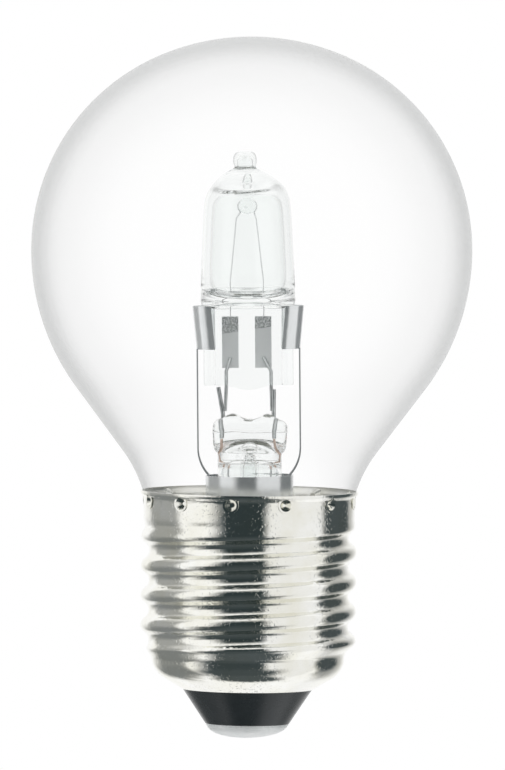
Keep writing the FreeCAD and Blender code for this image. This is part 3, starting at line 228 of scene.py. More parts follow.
def cap_nickel_material():
    """Plated brass, faintly yellow, with scattered grains under the plating, dull on the inside.

    A face looks inward where its normal points back at the axis, told by their product in metres.
    """
    material, tree, shader = new_material("cap_nickel")
    coordinates = tree.nodes.new("ShaderNodeTexCoord")
    vector = coordinates.outputs["Object"]
    outward = tree.nodes.new("ShaderNodeVectorMath")
    outward.operation = "MULTIPLY"
    outward.inputs[1].default_value = (1.0, 1.0, 0.0)
    tree.links.new(vector, outward.inputs[0])
    facing = tree.nodes.new("ShaderNodeVectorMath")
    facing.operation = "DOT_PRODUCT"
    tree.links.new(outward.outputs[0], facing.inputs[0])
    tree.links.new(coordinates.outputs["Normal"], facing.inputs[1])
    outside = spread(tree, facing.outputs["Value"], 0.0, 1.0, *INWARD)
    drift = noise(tree, vector, PLATING_DRIFT, 5.0)
    tree.links.new(ramp(tree, drift, list(zip(METAL_DRIFT, PLATING))), shader.inputs["Base Color"])
    gloss = calculate(tree, "MULTIPLY_ADD", outside, -POLISH, spread(tree, drift, *DULL_INSIDE))
    tree.links.new(gloss, shader.inputs["Roughness"])
    shader.inputs["Metallic"].default_value = 1.0
    grains = spread(tree, noise(tree, vector, PLATING_GRAINS, 2.0), 0.0, 1.0, *GRAINS_STAND_OUT)
    bump(tree, shader, grains, GRAIN_HEIGHT)
    return material


# The foils: plain and etched colours, and the slanting line in metres above which they are etched

FOIL_PLAIN = ((0.93, 0.96, 0.96), (0.97, 0.99, 0.99))
FOIL_ETCHED = ((0.34, 0.37, 0.37), (0.95, 0.97, 0.97))
ETCHED_SPREAD = (0.42, 0.58)
ETCHED_ABOVE = 0.0496
ETCHED_SOFTNESS = 0.0001
ETCHED_SLOPE = 0.16


def seal_foil_material():
    """Thin dull foil, etched coarse where the coil's lead is welded to its upper end."""
    material, tree, shader = new_material("seal_foil")
    vector = place(tree)
    parts = split(tree, vector)
    plain = drifting(tree, noise(tree, vector, 900, 4.0), *FOIL_PLAIN)
    grains = noise(tree, vector, 7000, 2.0)
    coarse = ramp(tree, grains, list(zip(ETCHED_SPREAD, FOIL_ETCHED)))
    slant = calculate(tree, "MULTIPLY_ADD", parts["X"], -ETCHED_SLOPE, parts["Z"])
    etched = spread(tree, slant, 0.0, 1.0, ETCHED_ABOVE, ETCHED_ABOVE + ETCHED_SOFTNESS)
    mix = tree.nodes.new("ShaderNodeMix")
    mix.data_type = "RGBA"
    tree.links.new(etched, mix.inputs["Factor"])
    tree.links.new(plain, mix.inputs[6])
    tree.links.new(coarse, mix.inputs[7])
    tree.links.new(mix.outputs[2], shader.inputs["Base Color"])
    shader.inputs["Roughness"].default_value = 0.6
    bump(tree, shader, grains, 4e-6)
    return material


def black_glass_material():
    """Moulded black glass, faintly uneven."""
    material, tree, shader = new_material("black_glass")
    vector = place(tree)
    drift = noise(tree, vector, 250, 4.0)
    colour = drifting(tree, drift, (0.022, 0.028, 0.031), (0.032, 0.039, 0.043))
    tree.links.new(colour, shader.inputs["Base Color"])
    tree.links.new(spread(tree, drift, 0.20, 0.32), shader.inputs["Roughness"])
    shader.inputs["IOR"].default_value = 1.5
    bump(tree, shader, noise(tree, vector, 900, 4.0), 12e-6)
    return material


cap_nickel = cap_nickel_material()
seal_foil = seal_foil_material()
black_glass = black_glass_material()

FINISHES = {
    globe_glass: ["outer_bulb"],
    stem_glass: ["stem_flare", "exhaust_tube"],
    quartz_glass: ["capsule"],
    frame_steel: ["support_ring", "support_arm_left", "support_arm_right"],
    coil_tungsten: ["filament"],
    inner_wire: ["inner_lead_left", "inner_lead_right"],
    seal_foil: ["foil_left", "foil_right"],
    lead_wire: ["capsule_lead_left", "capsule_lead_right", "stem_lead_left", "stem_lead_right",
                "centre_lead_upper", "fuse_wire", "centre_lead_lower", "side_lead"],
    sealing_wire: ["sealing_wire_left", "sealing_wire_right"],
    cap_nickel: ["cap_shell"],
    black_glass: ["insulator"],
    contact_metal: ["contact_plate"],
    solder: ["contact_solder", "side_solder"],
}
for material, names in FINISHES.items():
    for name in names:
        mesh = nodes[name].data
        mesh.materials.clear()
        mesh.materials.append(material)


# Places in millimetres and angles in degrees, the same as in the part

WALL = 0.7
NECK_RADIUS = 11.95
NECK_END = 26.4
CONE_ANGLE = 36.8
STEM_RADIUS = 3.9
STEM_DOME = 33.92
POST_HEIGHT = 64.7
BURNER_PIVOT = 31.0
BURNER_LEAN = Matrix.Rotation(math.radians(-1.0), 4, "Y")


# The height behind the support ring where the pressed end and the flare meet, and what counts as on the axis

STEM_CUT = 31.7
AXIS = 1e-6


# Tools for shapes, which are made in millimetres

def arc(centre, radius, start, finish, steps):
    """Places along an arc in the XZ plane, angles in degrees from +X towards +Z."""
    turns = [math.radians(start + (finish - start) * step / steps) for step in range(steps + 1)]
    return [(centre[0] + radius * math.cos(turn), centre[1] + radius * math.sin(turn)) for turn in turns]


def spun(profile, steps, unit=1.0):
    """A profile of the XZ plane, spun round the lamp axis and closed there or on itself."""
    shape = bmesh.new()
    verts = [shape.verts.new((x * unit, 0.0, z * unit)) for x, z in profile]
    edges = [shape.edges.new(pair) for pair in zip(verts, verts[1:] + verts[:1])
             if pair[0].co.x > AXIS or pair[1].co.x > AXIS]
    bmesh.ops.spin(shape, geom=verts + edges, cent=(0, 0, 0), axis=(0, 0, 1), dvec=(0, 0, 0),
                   angle=2 * math.pi, steps=steps, use_merge=True, use_duplicate=False)
    bmesh.ops.remove_doubles(shape, verts=shape.verts, dist=1e-5 * unit)
    bmesh.ops.recalc_face_normals(shape, faces=shape.faces)
    return shape


def skin(rings):
    """A closed skin through rings of places."""
    shape = bmesh.new()
    rows = [[shape.verts.new(spot) for spot in ring] for ring in rings]
    for low, high in zip(rows, rows[1:]):
        for step in range(len(low)):
            after = (step + 1) % len(low)
            shape.faces.new((low[step], low[after], high[after], high[step]))
    bmesh.ops.remove_doubles(shape, verts=shape.verts, dist=1e-5)
    bmesh.ops.dissolve_degenerate(shape, edges=shape.edges, dist=1e-5)
    bmesh.ops.recalc_face_normals(shape, faces=shape.faces)
    return shape


def finer(profile, parts):
    """A profile with each of its lengths cut into parts."""
    fine = [profile[0]]
    for low, high in zip(profile, profile[1:]):
        fine += [tuple(a + (b - a) * step / parts for a, b in zip(low, high))
                 for step in range(1, parts + 1)]
    return fine


def rounded(fine, passes):
    """A profile with its corners rounded off, its two ends kept."""
    for pass_number in range(passes):
        fine = [fine[0]] + [tuple((a + 2 * b + c) / 4 for a, b, c in zip(*three))
                            for three in zip(fine, fine[1:], fine[2:])] + [fine[-1]]
    return fine


def clamped(value):
    return max(0.0, min(1.0, value))


def bell(value, centre, width):
    return math.exp(-((value - centre) / width) ** 2)


def squared_circle(turn, wide, deep, power):
    """A place at a turn round an outline: an ellipse at power 2, nearly a rectangle at high powers."""
    cosine, sine = math.cos(turn), math.sin(turn)
    return (wide * math.copysign(abs(cosine) ** (2 / power), cosine),
            deep * math.copysign(abs(sine) ** (2 / power), sine))


def ripple(spot, scale, height):
    """A small smooth shift, different from place to place."""
    return mathutils.noise.noise_vector(spot * scale) * height


def lean(spot):
    """The burner stands a little askew."""
    pivot = Vector((0, 0, BURNER_PIVOT))
    return BURNER_LEAN @ (spot - pivot) + pivot


def shade_smooth(shape):
    for face in shape.faces:
        face.smooth = True


def to_metres(shape):
    bmesh.ops.scale(shape, vec=(MM, MM, MM), verts=shape.verts)


def new_mesh(name, shape):
    mesh = bpy.data.meshes.new(name)
    shape.to_mesh(mesh)
    shape.free()
    return mesh


def new_piece(name, data):
    piece = bpy.data.objects.new(name, data)
    scene.collection.objects.link(piece)
    return piece


def finished(name, shape, material):
    piece = new_piece(name, new_mesh(name, shape))
    piece.data.materials.append(material)
    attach(piece, "root")
    return piece


# The globe, blown smooth, with the neck that goes into the cap

GLOBE_RADIUS = 26.77
GLOBE_MIDDLE = 59.298
GLOBE_TOP = 85.198
CROWN_RADIUS = 28.4003
LOWER_RADIUS = 27.9987
HOLLOW_RADIUS = 15.9774
HOLLOW_CENTRE = (28.2192, 25.2487)
HOLLOW_END = 17
NECK_STEP = 0.4


def globe_profile(wall):
    """The globe's skin from its crown to the step of its neck, a wall inside the outer skin."""
    crown_centre = GLOBE_TOP - CROWN_RADIUS
    rise = GLOBE_MIDDLE - crown_centre
    shoulder = (CROWN_RADIUS ** 2 - GLOBE_RADIUS ** 2 - rise ** 2) / (2 * (CROWN_RADIUS - GLOBE_RADIUS))
    share = (CROWN_RADIUS - wall) / (CROWN_RADIUS - shoulder)
    join = ((GLOBE_RADIUS - shoulder) * share, rise * share)
    crown_end = math.degrees(math.atan2(join[1], join[0]))
    points = arc((0, crown_centre), CROWN_RADIUS - wall, 90, crown_end, 40)
    points += arc((GLOBE_RADIUS - shoulder, GLOBE_MIDDLE), shoulder - wall, crown_end, 0, 24)[1:]
    points += arc((GLOBE_RADIUS - LOWER_RADIUS, GLOBE_MIDDLE), LOWER_RADIUS - wall, 0, -CONE_ANGLE, 40)[1:]
    return points + arc(HOLLOW_CENTRE, HOLLOW_RADIUS + wall, 180 - CONE_ANGLE, 180 - HOLLOW_END, 20)


def build_globe():
    outside = globe_profile(0.0)
    inside = globe_profile(WALL)
    step = outside[-1][1] - NECK_STEP
    inner = NECK_RADIUS - WALL
    neck = [(NECK_RADIUS, step), (NECK_RADIUS, NECK_END), (inner, NECK_END), (inner, step - WALL)]
    shape = spun(outside + neck + inside[::-1], 192, MM)
    shade_smooth(shape)
    piece = finished("globe_blown", shape, globe_glass)
    piece.data.materials.append(globe_inside)
    centre = Vector((0, 0, GLOBE_MIDDLE * MM))
    for face in piece.data.polygons:
        face.material_index = 1 if face.normal.dot(face.center - centre) < 0 else 0
    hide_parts("outer_bulb")


build_globe()


# The press: share of the way from its foot to its top, height, half width, half depth, squareness

PRESS_RINGS = [
    (0.00, 33.97, 0.0, 0.0, 2.0), (0.10, 33.97, 3.4, 3.4, 2.0), (0.14, 34.15, 3.85, 3.85, 2.0),
    (0.22, 34.75, 3.98, 3.75, 2.0), (0.30, 35.2, 4.12, 3.2, 2.0), (0.40, 35.8, 4.35, 2.1, 2.3),
    (0.48, 36.2, 4.47, 1.5, 2.8), (0.58, 37.2, 4.55, 1.42, 3.0), (0.64, 37.55, 4.55, 1.8, 3.0),
    (0.75, 38.1, 4.5, 1.75, 3.0), (0.85, 38.55, 4.1, 1.4, 2.8), (0.93, 38.8, 3.3, 0.9, 2.5),
    (1.00, 38.9, 0.0, 0.0, 2.0)]


# The press's top edge rises in a bump over each lead and dips between them, and its waist sags at the sides

TOP_EDGE_FOOT = 37.0
TOP_EDGE_FADE = 1.8
BUMP_RISE = 0.6
BUMP_PLACE = 2.1
BUMP_WIDTH = 1.0
DIP = 0.1
DIP_WIDTH = 1.3
SAG = 0.7
SAG_REACH = 4.2
SAG_HEIGHT = 35.7
SAG_WIDTH = 0.8
MELT_SCALE = 0.6
MELT_HEIGHT = 0.08


# The stem's tube and dome, the blow hole and the hollow in front of it

STEM_PROFILE = [
    (STEM_RADIUS, STEM_CUT), (STEM_RADIUS, 34.3), (3.7, 34.75), (0.0, 35.3),
    (0.0, STEM_DOME), (1.3, STEM_DOME), (2.4, STEM_DOME - 0.12), (3.0, STEM_DOME - 0.5),
    (STEM_RADIUS - WALL, STEM_DOME - 1.1), (STEM_RADIUS - WALL, STEM_CUT)]
BLOW_HOLE_RADIUS = 0.5
BLOW_HOLE_LENGTH = 1.4
BLOW_HOLE_HEIGHT = 34.5
PORT_SIZE = (0.95, 2.6, 0.45)
PORT_PLACE = (0.0, -2.2, 35.05)
MELT_GRID = 0.09
MELT_EASE = 0.5
MELT_PASSES = 14


def between(rows, share):
    """The rest of a table's row at a share of the way, straight from one row to the next."""
    for low, high in zip(rows, rows[1:]):
        if share <= high[0]:
            part = (share - low[0]) / (high[0] - low[0])
            return [a + (b - a) * part for a, b in zip(low[1:], high[1:])]
    return rows[-1][1:]


def press_place(direction):
    """Where a point of a ball ends up in the pressed end of the stem."""
    share = math.acos(max(-1.0, min(1.0, -direction.z))) / math.pi
    height, half_width, half_depth, power = between(PRESS_RINGS, share)
    x, y = squared_circle(math.atan2(direction.y, direction.x), half_width, half_depth, power)
    top = clamped((height - TOP_EDGE_FOOT) / TOP_EDGE_FADE)
    height += top * (BUMP_RISE * bell(abs(x), BUMP_PLACE, BUMP_WIDTH) - DIP * bell(x, 0.0, DIP_WIDTH))
    height -= SAG * (x / SAG_REACH) ** 2 * bell(height, SAG_HEIGHT, SAG_WIDTH)
    return Vector((x, y, height))


def build_press():
    """The stem's upper end, melted shut and pressed flat round the leads."""
    press = bmesh.new()
    bmesh.ops.create_uvsphere(press, u_segments=128, v_segments=110, radius=1.0)
    for vert in press.verts:
        vert.co = press_place(vert.co.normalized())
        vert.co += ripple(vert.co, MELT_SCALE, MELT_HEIGHT)
    hole = bmesh.new()
    bmesh.ops.create_cone(hole, cap_ends=True, segments=32, radius1=BLOW_HOLE_RADIUS,
                          radius2=BLOW_HOLE_RADIUS, depth=BLOW_HOLE_LENGTH,
                          matrix=Matrix.Translation((0, 0, BLOW_HOLE_HEIGHT)))
    port = bmesh.new()
    bmesh.ops.create_uvsphere(port, u_segments=32, v_segments=24, radius=1.0)
    for vert in port.verts:
        vert.co = [way * size + spot for way, size, spot in zip(vert.co, PORT_SIZE, PORT_PLACE)]
    body = new_piece("stem_body", new_mesh("stem_body", spun(STEM_PROFILE, 96)))
    tools = []
    for name, shape, operation in [("press_body", press, "UNION"), ("hole_tool", hole, "DIFFERENCE"),
                                   ("port_tool", port, "DIFFERENCE")]:
        tools.append(new_piece(name, new_mesh(name, shape)))
        step = body.modifiers.new(operation, "BOOLEAN")
        step.operation = operation
        step.object = tools[-1]
        step.solver = "EXACT"
    remesh = body.modifiers.new("melt", "REMESH")
    remesh.mode = "VOXEL"
    remesh.voxel_size = MELT_GRID
    remesh.use_smooth_shade = True
    smooth = body.modifiers.new("settle", "SMOOTH")
    smooth.factor = MELT_EASE
    smooth.iterations = MELT_PASSES
    graph = bpy.context.evaluated_depsgraph_get()
    mesh = bpy.data.meshes.new_from_object(body.evaluated_get(graph))
    for piece in [body] + tools:
        bpy.data.objects.remove(piece)
    melted = bmesh.new()
    melted.from_mesh(mesh)
    bpy.data.meshes.remove(mesh)
    to_metres(melted)
    shade_smooth(melted)
    piece = finished("stem_press_melted", melted, stem_glass)
    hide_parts("stem_flare")


build_press()


# The flared foot of the stem, up to the height where the ring hides it

FLARE_RADIUS = 5.02
FLARE_HEIGHT = 28.2
FLARE_DROP = 1.8
FLARE_BEND = 0.55
FLARE_STEPS = 12
TUBE_END = (0.12, 31.5)


def build_flare():
    top = STEM_CUT - 0.01
    outside = [(STEM_RADIUS, top), (STEM_RADIUS + TUBE_END[0], TUBE_END[1]), (FLARE_RADIUS, FLARE_HEIGHT)]
    shares = [step / FLARE_STEPS for step in range(1, FLARE_STEPS + 1)]
    flare = [(FLARE_RADIUS + (NECK_RADIUS - FLARE_RADIUS) * share,
              FLARE_HEIGHT - FLARE_DROP * share ** FLARE_BEND) for share in shares]
    lip = [(NECK_RADIUS, NECK_END - WALL), (NECK_RADIUS - WALL, NECK_END - WALL)]
    under = [(x - 0.3, z - 0.62) for x, z in reversed(flare[:-1])]
    inside = [(FLARE_RADIUS - WALL, FLARE_HEIGHT - WALL / 2),
              (STEM_RADIUS - WALL + TUBE_END[0], TUBE_END[1]), (STEM_RADIUS - WALL, top)]
    shape = spun(outside + flare + lip + under + inside, 128)
    to_metres(shape)
    shade_smooth(shape)
    piece = finished("stem_flare_drawn", shape, stem_glass)
    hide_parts("stem_flare")


build_flare()


# The quartz capsule: a blown body on a flat pinch with thick edges, a sealed tip and a glass post

PINCH_FOOT = 42.9
PINCH_WIDTH = 5.45
PINCH_DEPTH = 1.15
PINCH_POWER = 8.0
PINCH_HEIGHTS = (46.0, 48.0, 50.0, 51.0, 51.8)
RIB_RISE = 0.45
RIB_START = 4.12
RIB_EASE = 0.32
FOOT_HEIGHT = 1.5
FOOT_ROWS = [(0.0, 0.0), (0.0, 0.5), (0.04, 0.7), (0.12, 0.86), (0.26, 0.96), (0.45, 1.0),
             (FOOT_HEIGHT, 1.0)]
BOW_RISE = 0.55
BOW_WIDTH = 2.9
STEP_FOOT = 52.2
STEP_UNDER = 52.5
STEP_TOP = 53.2
STEP_DEPTH = 1.85
BODY_RADIUS = 5.75
BODY_POWER = 2.0
TIP_SHIFT = -0.25
TIP_FOOT = 67.5
TIP_EASE = 1.2
OUTLINE_STEPS = 1440


# Profiles of the body, of the room inside it, of the tip's closed bore and of the post, which lies level

BODY_RINGS = [
    (53.2, 5.75), (55.2, 5.74), (56.6, 5.68), (60.0, 5.52), (63.9, 5.34), (64.8, 5.27), (65.6, 5.13),
    (66.2, 4.92), (66.8, 4.6), (67.4, 4.12), (67.9, 3.6), (68.4, 2.95), (68.8, 2.3),
    (69.1, 1.7), (69.25, 1.38), (69.4, 1.25), (69.6, 1.32), (69.8, 1.45), (70.4, 1.46),
    (70.8, 1.38), (71.1, 1.15), (71.25, 0.8), (71.3, 0.4), (71.3, 0.0)]
ROOM = [
    (0.0, 53.12), (1.4, 53.16), (2.6, 53.34), (3.4, 53.6), (3.95, 53.95), (4.3, 54.45),
    (4.48, 55.2), (4.54, 56.6), (4.45, 59.0), (4.3, 62.0), (4.2, 63.6), (4.12, 64.6), (3.95, 65.3),
    (3.6, 65.9), (3.1, 66.25), (2.5, 66.4), (1.0, 66.42), (0.45, 66.45), (0.42, 67.0),
    (0.25, 67.5), (0.0, 67.6)]
TIP_BORE = [(0.0, 69.35), (0.7, 69.4), (0.88, 69.6), (0.88, 70.3), (0.6, 70.6), (0.0, 70.65)]
POST = [(0.0, -4.02), (0.5, -3.98), (0.86, -3.8), (0.98, -3.5), (0.98, 0.0),
        (0.98, 3.5), (0.86, 3.8), (0.5, 3.98), (0.0, 4.02)]
BUBBLE_RADIUS = 0.16
BUBBLE_PLACE = (-0.15, -0.1, 2.6)


def section(wide, deep, rib, power, count):
    """Places round the capsule, evenly spaced, with a rib on each edge."""
    outline = []
    for step in range(OUTLINE_STEPS + 1):
        turn = 2 * math.pi * step / OUTLINE_STEPS
        x = squared_circle(turn, wide, deep, power)[0]
        rise = rib * clamped((abs(x) - RIB_START) / RIB_EASE)
        outline.append(squared_circle(turn, wide, deep + rise, power))
    lengths = [0.0]
    for start, finish in zip(outline, outline[1:]):
        lengths.append(lengths[-1] + math.dist(start, finish))
    places, spot = [], 0
    for step in range(count):
        wanted = lengths[-1] * step / count
        while lengths[spot + 1] < wanted:
            spot += 1
        share = (wanted - lengths[spot]) / (lengths[spot + 1] - lengths[spot])
        places.append([a + (b - a) * share for a, b in zip(outline[spot], outline[spot + 1])])
    return places


def bow(x):
    """The shallow bow in the middle of the pinch's lower edge."""
    return BOW_RISE * max(0.0, math.cos(min(abs(x) / BOW_WIDTH, 1.0) * math.pi / 2)) ** 1.5


def capsule_rings(count):
    """The outer skin of the capsule from the lower edge of the pinch to the end of the tip."""
    pinch = section(PINCH_WIDTH, PINCH_DEPTH, RIB_RISE, PINCH_POWER, count)
    rings = [[(x, y * depth, PINCH_FOOT + z - bow(x) * (1 - z / FOOT_HEIGHT)) for x, y in pinch]
             for z, depth in FOOT_ROWS]
    rings += [[(x, y, z) for x, y in pinch] for z in (*PINCH_HEIGHTS, STEP_FOOT)]
    for step in range(1, 6):
        turn = math.radians(90 * step / 5)
        z = STEP_FOOT + (STEP_UNDER - STEP_FOOT) * math.sin(turn)
        deep = PINCH_DEPTH + (STEP_DEPTH - PINCH_DEPTH) * (1 - math.cos(turn))
        rib = RIB_RISE * (1 - step / 5)
        rings.append([(x, y, z) for x, y in section(PINCH_WIDTH, deep, rib, PINCH_POWER, count)])
    for step in range(1, 21):
        turn = math.radians(90 * step / 20)
        z = STEP_TOP - (STEP_TOP - STEP_UNDER) * math.cos(turn)
        share = math.sin(turn)
        wide = PINCH_WIDTH + (BODY_RADIUS - PINCH_WIDTH) * share
        deep = STEP_DEPTH + (BODY_RADIUS - STEP_DEPTH) * share
        power = PINCH_POWER + (BODY_POWER - PINCH_POWER) * share ** 0.5
        rings.append([(x, y, z) for x, y in section(wide, deep, 0.0, power, count)])
    circle = rings[-1]
    for z, radius in rounded(finer(BODY_RINGS, 3)[1:], 4):
        shift = TIP_SHIFT * clamped((z - TIP_FOOT) / TIP_EASE)
        rings.append([(x * radius / BODY_RADIUS + shift, y * radius / BODY_RADIUS, z)
                      for x, y, height in circle])
    return rings


def build_capsule():
    bore = spun(rounded(finer(TIP_BORE, 4), 2), 64)
    bmesh.ops.translate(bore, vec=(TIP_SHIFT, 0, 0), verts=bore.verts)
    post = spun(rounded(finer(POST, 4), 2), 64)
    bubble = bmesh.new()
    bmesh.ops.create_uvsphere(bubble, u_segments=24, v_segments=16, radius=BUBBLE_RADIUS,
                              matrix=Matrix.Translation(BUBBLE_PLACE))
    for part in (post, bubble):
        bmesh.ops.rotate(part, cent=(0, 0, 0), matrix=Matrix.Rotation(math.radians(90), 3, "X"),
                         verts=part.verts)
        bmesh.ops.translate(part, vec=(0, 0, POST_HEIGHT), verts=part.verts)
    whole = bmesh.new()
    for shell, hollow in [(skin(capsule_rings(240)), False), (spun(rounded(finer(ROOM, 4), 3), 128), True),
                          (bore, True), (post, False), (bubble, True)]:
        if hollow:
            bmesh.ops.reverse_faces(shell, faces=shell.faces)
        mesh = new_mesh("shell", shell)
        whole.from_mesh(mesh)
        bpy.data.meshes.remove(mesh)
    for vert in whole.verts:
        vert.co = lean(vert.co) * MM
    shade_smooth(whole)
    piece = finished("capsule_blown", whole, quartz_glass)
    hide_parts("capsule")


build_capsule()


# The coiled filament, wound from fine wire and bent over the post

BEND_RADIUS = 1.14
KINK_HEIGHT = 63.2
COIL_FOOT = 55.36
COIL_FORWARD = 0.105
COIL_PITCH = 0.12
COIL_RADIUS = 0.079
WIRE_RADIUS = 0.021
PLACES_PER_TURN = 9


def filament_route():
    """Places along the coil's middle line, in the upright frame of the capsule."""
    low = BEND_RADIUS * math.sin(math.radians(45))
    route = [(-2.15, COIL_FOOT), (-1.35, KINK_HEIGHT), (-low, POST_HEIGHT - low)]
    route += arc((0, POST_HEIGHT), BEND_RADIUS, 225, -45, 40)[1:]
    return [Vector((x, COIL_FORWARD, z)) for x, z in route + [(1.05, KINK_HEIGHT), (1.9, COIL_FOOT)]]


def build_coil():
    route = filament_route()
    lengths = [0.0]
    for start, finish in zip(route, route[1:]):
        lengths.append(lengths[-1] + (finish - start).length)
    count = int(lengths[-1] / COIL_PITCH * PLACES_PER_TURN)
    curve = bpy.data.curves.new("filament_coil", "CURVE")
    curve.dimensions = "3D"
    curve.bevel_depth = WIRE_RADIUS * MM
    curve.bevel_resolution = 0
    curve.use_fill_caps = True
    line = curve.splines.new("POLY")
    line.points.add(count)
    length_number = 0
    for step in range(count + 1):
        along = lengths[-1] * step / count
        while length_number < len(lengths) - 2 and lengths[length_number + 1] < along:
            length_number += 1
        start, finish = route[length_number], route[length_number + 1]
        direction = (finish - start).normalized()
        middle = start + direction * (along - lengths[length_number])
        across = Vector((-direction.z, 0.0, direction.x))
        turn = 2 * math.pi * along / COIL_PITCH
        spot = middle + (across * math.cos(turn) + Vector((0, 1, 0)) * math.sin(turn)) * COIL_RADIUS
        line.points[step].co = (*(lean(spot) * MM), 1.0)
    piece = new_piece("filament_coil", curve)
    curve.materials.append(coil_tungsten)
    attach(piece, "root")
    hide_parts("filament")


build_coil()


# The drop of solder on the contact, run down over the plate's edge

DROP_RADIUS = 4.88
DROP_DEPTH = 1.55
DROP_DRIFT = 0.3
DROP_SCALE = 0.7
DROP_WAVE = 0.05


def build_solder_drop():
    turns = [math.radians(turn) for turn in range(0, 90, 5)]
    bowl = [(DROP_RADIUS * math.cos(turn), DROP_DEPTH - DROP_DEPTH * math.sin(turn)) for turn in turns]
    drop = spun([(0.0, DROP_DEPTH)] + bowl + [(0.0, 0.0)], 128)
    for vert in drop.verts:
        fall = (DROP_DEPTH - vert.co.z) / DROP_DEPTH
        vert.co.x -= DROP_DRIFT * fall * fall
        vert.co += ripple(vert.co, DROP_SCALE, DROP_WAVE) * fall * (1 - fall)
        vert.co *= MM
    for face in drop.faces:
        face.smooth = abs(face.normal.z) < 0.999 or face.calc_center_median().z < 0.001
    piece = finished("contact_solder_drop", drop, solder)
    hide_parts("contact_solder")


build_solder_drop()


# What hangs in the tent: both azimuths and their softness, both elevations and their softness, shade

SIDE_PANELS = [
    ((-136, -84, 14, 14), (-58, 42, 12, 40), 0.37),
    ((-155, -88, 20, 20), (-50, -12, 14, 30), 0.22),
    ((108, 152, 16, 40), (-42, 45, 14, 25), 0.36)]
FRONT_PANELS = [
    ((-37, 19, 26, 12), (-100, 46, 2, 40), 0.04),
    ((-62, 22, 34, 14), (-100, -12, 2, 18), 0.055),
    ((-80, 50, 50, 34), (-100, -36, 2, 20), 0.07)]


# The tent's right wall, the round panel's place, half sizes, soft edge and shade, and the tent's two ends

RIGHT_WALL = (15, 95, 10, 10)
RIGHT_WALL_DIM = 0.12
ROUND_PLACE = 113
ROUND_WIDTH = 27
ROUND_HEIGHT = 34
ROUND_EDGE = (0.45, 1.25)
ROUND_SHADE = 0.075
FLOOR_EDGE = (-74, -62)
FLOOR_SHADE = 0.085
CROWN_EDGE = (68, 80)
CROWN_SHADE = 0.12


# The colour of each shade, and what the light that has come through glass sees of the tent

SHADES = [(0.0, (0.0, 0.0, 0.0)), (0.04, (0.030, 0.042, 0.045)), (0.12, (0.108, 0.124, 0.128)),
          (0.5, (0.5, 0.5, 0.49)), (1.0, (1.0, 1.0, 1.0))]
SEEN_THROUGH_GLASS = 0.45
WHITE_BEHIND = (0.45, 0.75)
WHITE_IN_FRONT = (-0.25, -0.6)


def soft_step(tree, value, low, high):
    """Nought on the low side, one on the high side and a soft edge between."""
    node = tree.nodes.new("ShaderNodeMapRange")
    node.interpolation_type = "SMOOTHSTEP"
    node.inputs["From Min"].default_value = low
    node.inputs["From Max"].default_value = high
    tree.links.new(value, node.inputs["Value"])
    return node.outputs["Result"]


def panel(tree, value, start, finish, soft_start, soft_finish):
    """One between two angles, with an edge of its own softness at each."""
    rising = soft_step(tree, value, start - soft_start / 2, start + soft_start / 2)
    falling = soft_step(tree, value, finish - soft_finish / 2, finish + soft_finish / 2)
    return calculate(tree, "MULTIPLY", rising, calculate(tree, "SUBTRACT", 1.0, falling))


def hang(tree, light, cover, shade):
    """The light with something of its own shade hung in front of it."""
    kept = calculate(tree, "MULTIPLY", light, calculate(tree, "SUBTRACT", 1.0, cover))
    return calculate(tree, "MULTIPLY_ADD", cover, shade, kept)


def hang_panels(tree, azimuth, elevation, light, panels):
    for sideways, upright, shade in panels:
        cover = calculate(tree, "MULTIPLY", panel(tree, azimuth, *sideways),
                          panel(tree, elevation, *upright))
        light = hang(tree, light, cover, shade)
    return light


def tent_light(tree, azimuth, elevation):
    """The light from each direction, both angles in degrees.

    The azimuth is 0 towards the camera and grows towards the right.
    """
    light = calculate(tree, "MULTIPLY_ADD", panel(tree, azimuth, *RIGHT_WALL), -RIGHT_WALL_DIM, 1.0)
    light = hang_panels(tree, azimuth, elevation, light, SIDE_PANELS)
    sideways = calculate(tree, "DIVIDE", calculate(tree, "SUBTRACT", azimuth, ROUND_PLACE), ROUND_WIDTH)
    upright = calculate(tree, "DIVIDE", elevation, ROUND_HEIGHT)
    away = calculate(tree, "ADD", calculate(tree, "POWER", sideways, 2),
                     calculate(tree, "POWER", upright, 2))
    around = soft_step(tree, away, *ROUND_EDGE)
    light = hang(tree, light, calculate(tree, "SUBTRACT", 1.0, around), ROUND_SHADE)
    light = hang_panels(tree, azimuth, elevation, light, FRONT_PANELS)
    above_floor = soft_step(tree, elevation, *FLOOR_EDGE)
    light = hang(tree, light, calculate(tree, "SUBTRACT", 1.0, above_floor), FLOOR_SHADE)
    return hang(tree, light, soft_step(tree, elevation, *CROWN_EDGE), CROWN_SHADE)


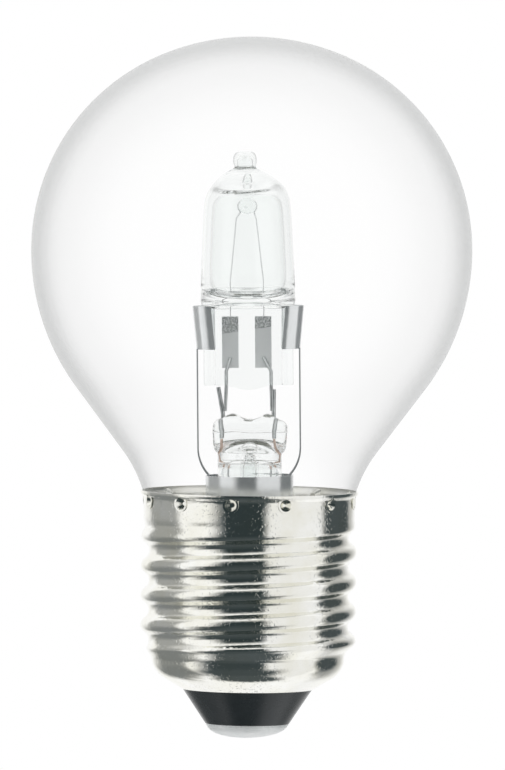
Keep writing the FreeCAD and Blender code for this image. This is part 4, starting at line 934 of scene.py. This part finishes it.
def studio():
    """A white tent, a lighter one for the light in the glass, and plain white for the camera."""
    world = bpy.data.worlds.new("studio")
    scene.world = world
    world.use_nodes = True
    tree = world.node_tree
    tree.nodes.clear()
    output = tree.nodes.new("ShaderNodeOutputWorld")
    backdrop = tree.nodes.new("ShaderNodeBackground")
    backdrop.inputs["Color"].default_value = (1.0, 1.0, 1.0, 1.0)
    tent = tree.nodes.new("ShaderNodeBackground")
    glass_tent = tree.nodes.new("ShaderNodeBackground")
    direction = split(tree, tree.nodes.new("ShaderNodeTexCoord").outputs["Generated"])
    forward = calculate(tree, "MULTIPLY", direction["Y"], -1.0)
    azimuth = calculate(tree, "DEGREES", calculate(tree, "ARCTAN2", direction["X"], forward))
    elevation = calculate(tree, "DEGREES", calculate(tree, "ARCSINE", direction["Z"]))
    light = tent_light(tree, azimuth, elevation)
    tree.links.new(ramp(tree, light, SHADES), tent.inputs["Color"])
    lifted = calculate(tree, "MULTIPLY_ADD", light, SEEN_THROUGH_GLASS, 1.0 - SEEN_THROUGH_GLASS)
    for edge in (WHITE_IN_FRONT, WHITE_BEHIND):
        lifted = hang(tree, lifted, soft_step(tree, direction["Y"], *edge), 1.0)
    tree.links.new(lifted, glass_tent.inputs["Color"])
    path = tree.nodes.new("ShaderNodeLightPath")
    around = mixed_shaders(tree, path.outputs["Is Transmission Ray"], tent.outputs["Background"],
                           glass_tent.outputs["Background"])
    seen = mixed_shaders(tree, path.outputs["Is Camera Ray"], around, backdrop.outputs["Background"])
    tree.links.new(seen, output.inputs["Surface"])


studio()


# Floor, in metres

FLOOR_RADIUS = 1.4
FLOOR_HEIGHT = -0.12
FLOOR_WHITE = 0.8


def build_floor():
    """A pale floor that the camera sees nearly as white as the tent, with a trace of the shadow."""
    material, tree, shader = new_material("pale_floor")
    grain = noise(tree, place(tree), 40, 4.0)
    tree.links.new(drifting(tree, grain, (0.88,) * 3, (0.92,) * 3), shader.inputs["Base Color"])
    shader.inputs["Roughness"].default_value = 0.6
    white = tree.nodes.new("ShaderNodeEmission")
    path = tree.nodes.new("ShaderNodeLightPath")
    output = next(node for node in tree.nodes if node.type == "OUTPUT_MATERIAL")
    share = calculate(tree, "MULTIPLY", path.outputs["Is Camera Ray"], FLOOR_WHITE)
    seen = mixed_shaders(tree, share, shader.outputs["BSDF"], white.outputs["Emission"])
    tree.links.new(seen, output.inputs["Surface"])
    shape = bmesh.new()
    bmesh.ops.create_circle(shape, cap_ends=True, segments=96, radius=FLOOR_RADIUS,
                            matrix=Matrix.Translation((0, 0, FLOOR_HEIGHT)))
    floor = new_piece("floor", new_mesh("floor", shape))
    floor.data.materials.append(material)
    floor.visible_glossy = False
    floor.visible_transmission = False


build_floor()


# Camera, lengths in metres and angles in degrees

CAMERA_DISTANCE = 1.5
CAMERA_TARGET = (0.00025, 0.0, 0.0429)
CAMERA_RISE = 2.5
CAMERA_ROLL = 0.565
VIEW_HEIGHT = 0.0935
SENSOR = 36.0


def make_camera():
    data = bpy.data.cameras.new("camera")
    data.sensor_width = SENSOR
    data.lens = SENSOR * CAMERA_DISTANCE / VIEW_HEIGHT
    data.clip_start = 0.01
    data.clip_end = 20.0
    camera = new_piece("camera", data)
    rise = math.radians(CAMERA_RISE)
    away = Vector((0.0, -math.cos(rise), math.sin(rise)))
    camera.location = Vector(CAMERA_TARGET) + away * CAMERA_DISTANCE
    camera.rotation_mode = "QUATERNION"
    level = (-away).to_track_quat("-Z", "Y")
    roll = Matrix.Rotation(math.radians(CAMERA_ROLL), 3, "Z").to_quaternion()
    camera.rotation_quaternion = level @ roll
    scene.camera = camera


make_camera()


# A ray meets many glass walls before it leaves the lamp

GLASS_WALLS = 48
MIRRORS = 24
scene.cycles.max_bounces = GLASS_WALLS
scene.cycles.transmission_bounces = GLASS_WALLS
scene.cycles.glossy_bounces = MIRRORS
scene.cycles.transparent_max_bounces = GLASS_WALLS
scene.view_settings.view_transform = "Standard"
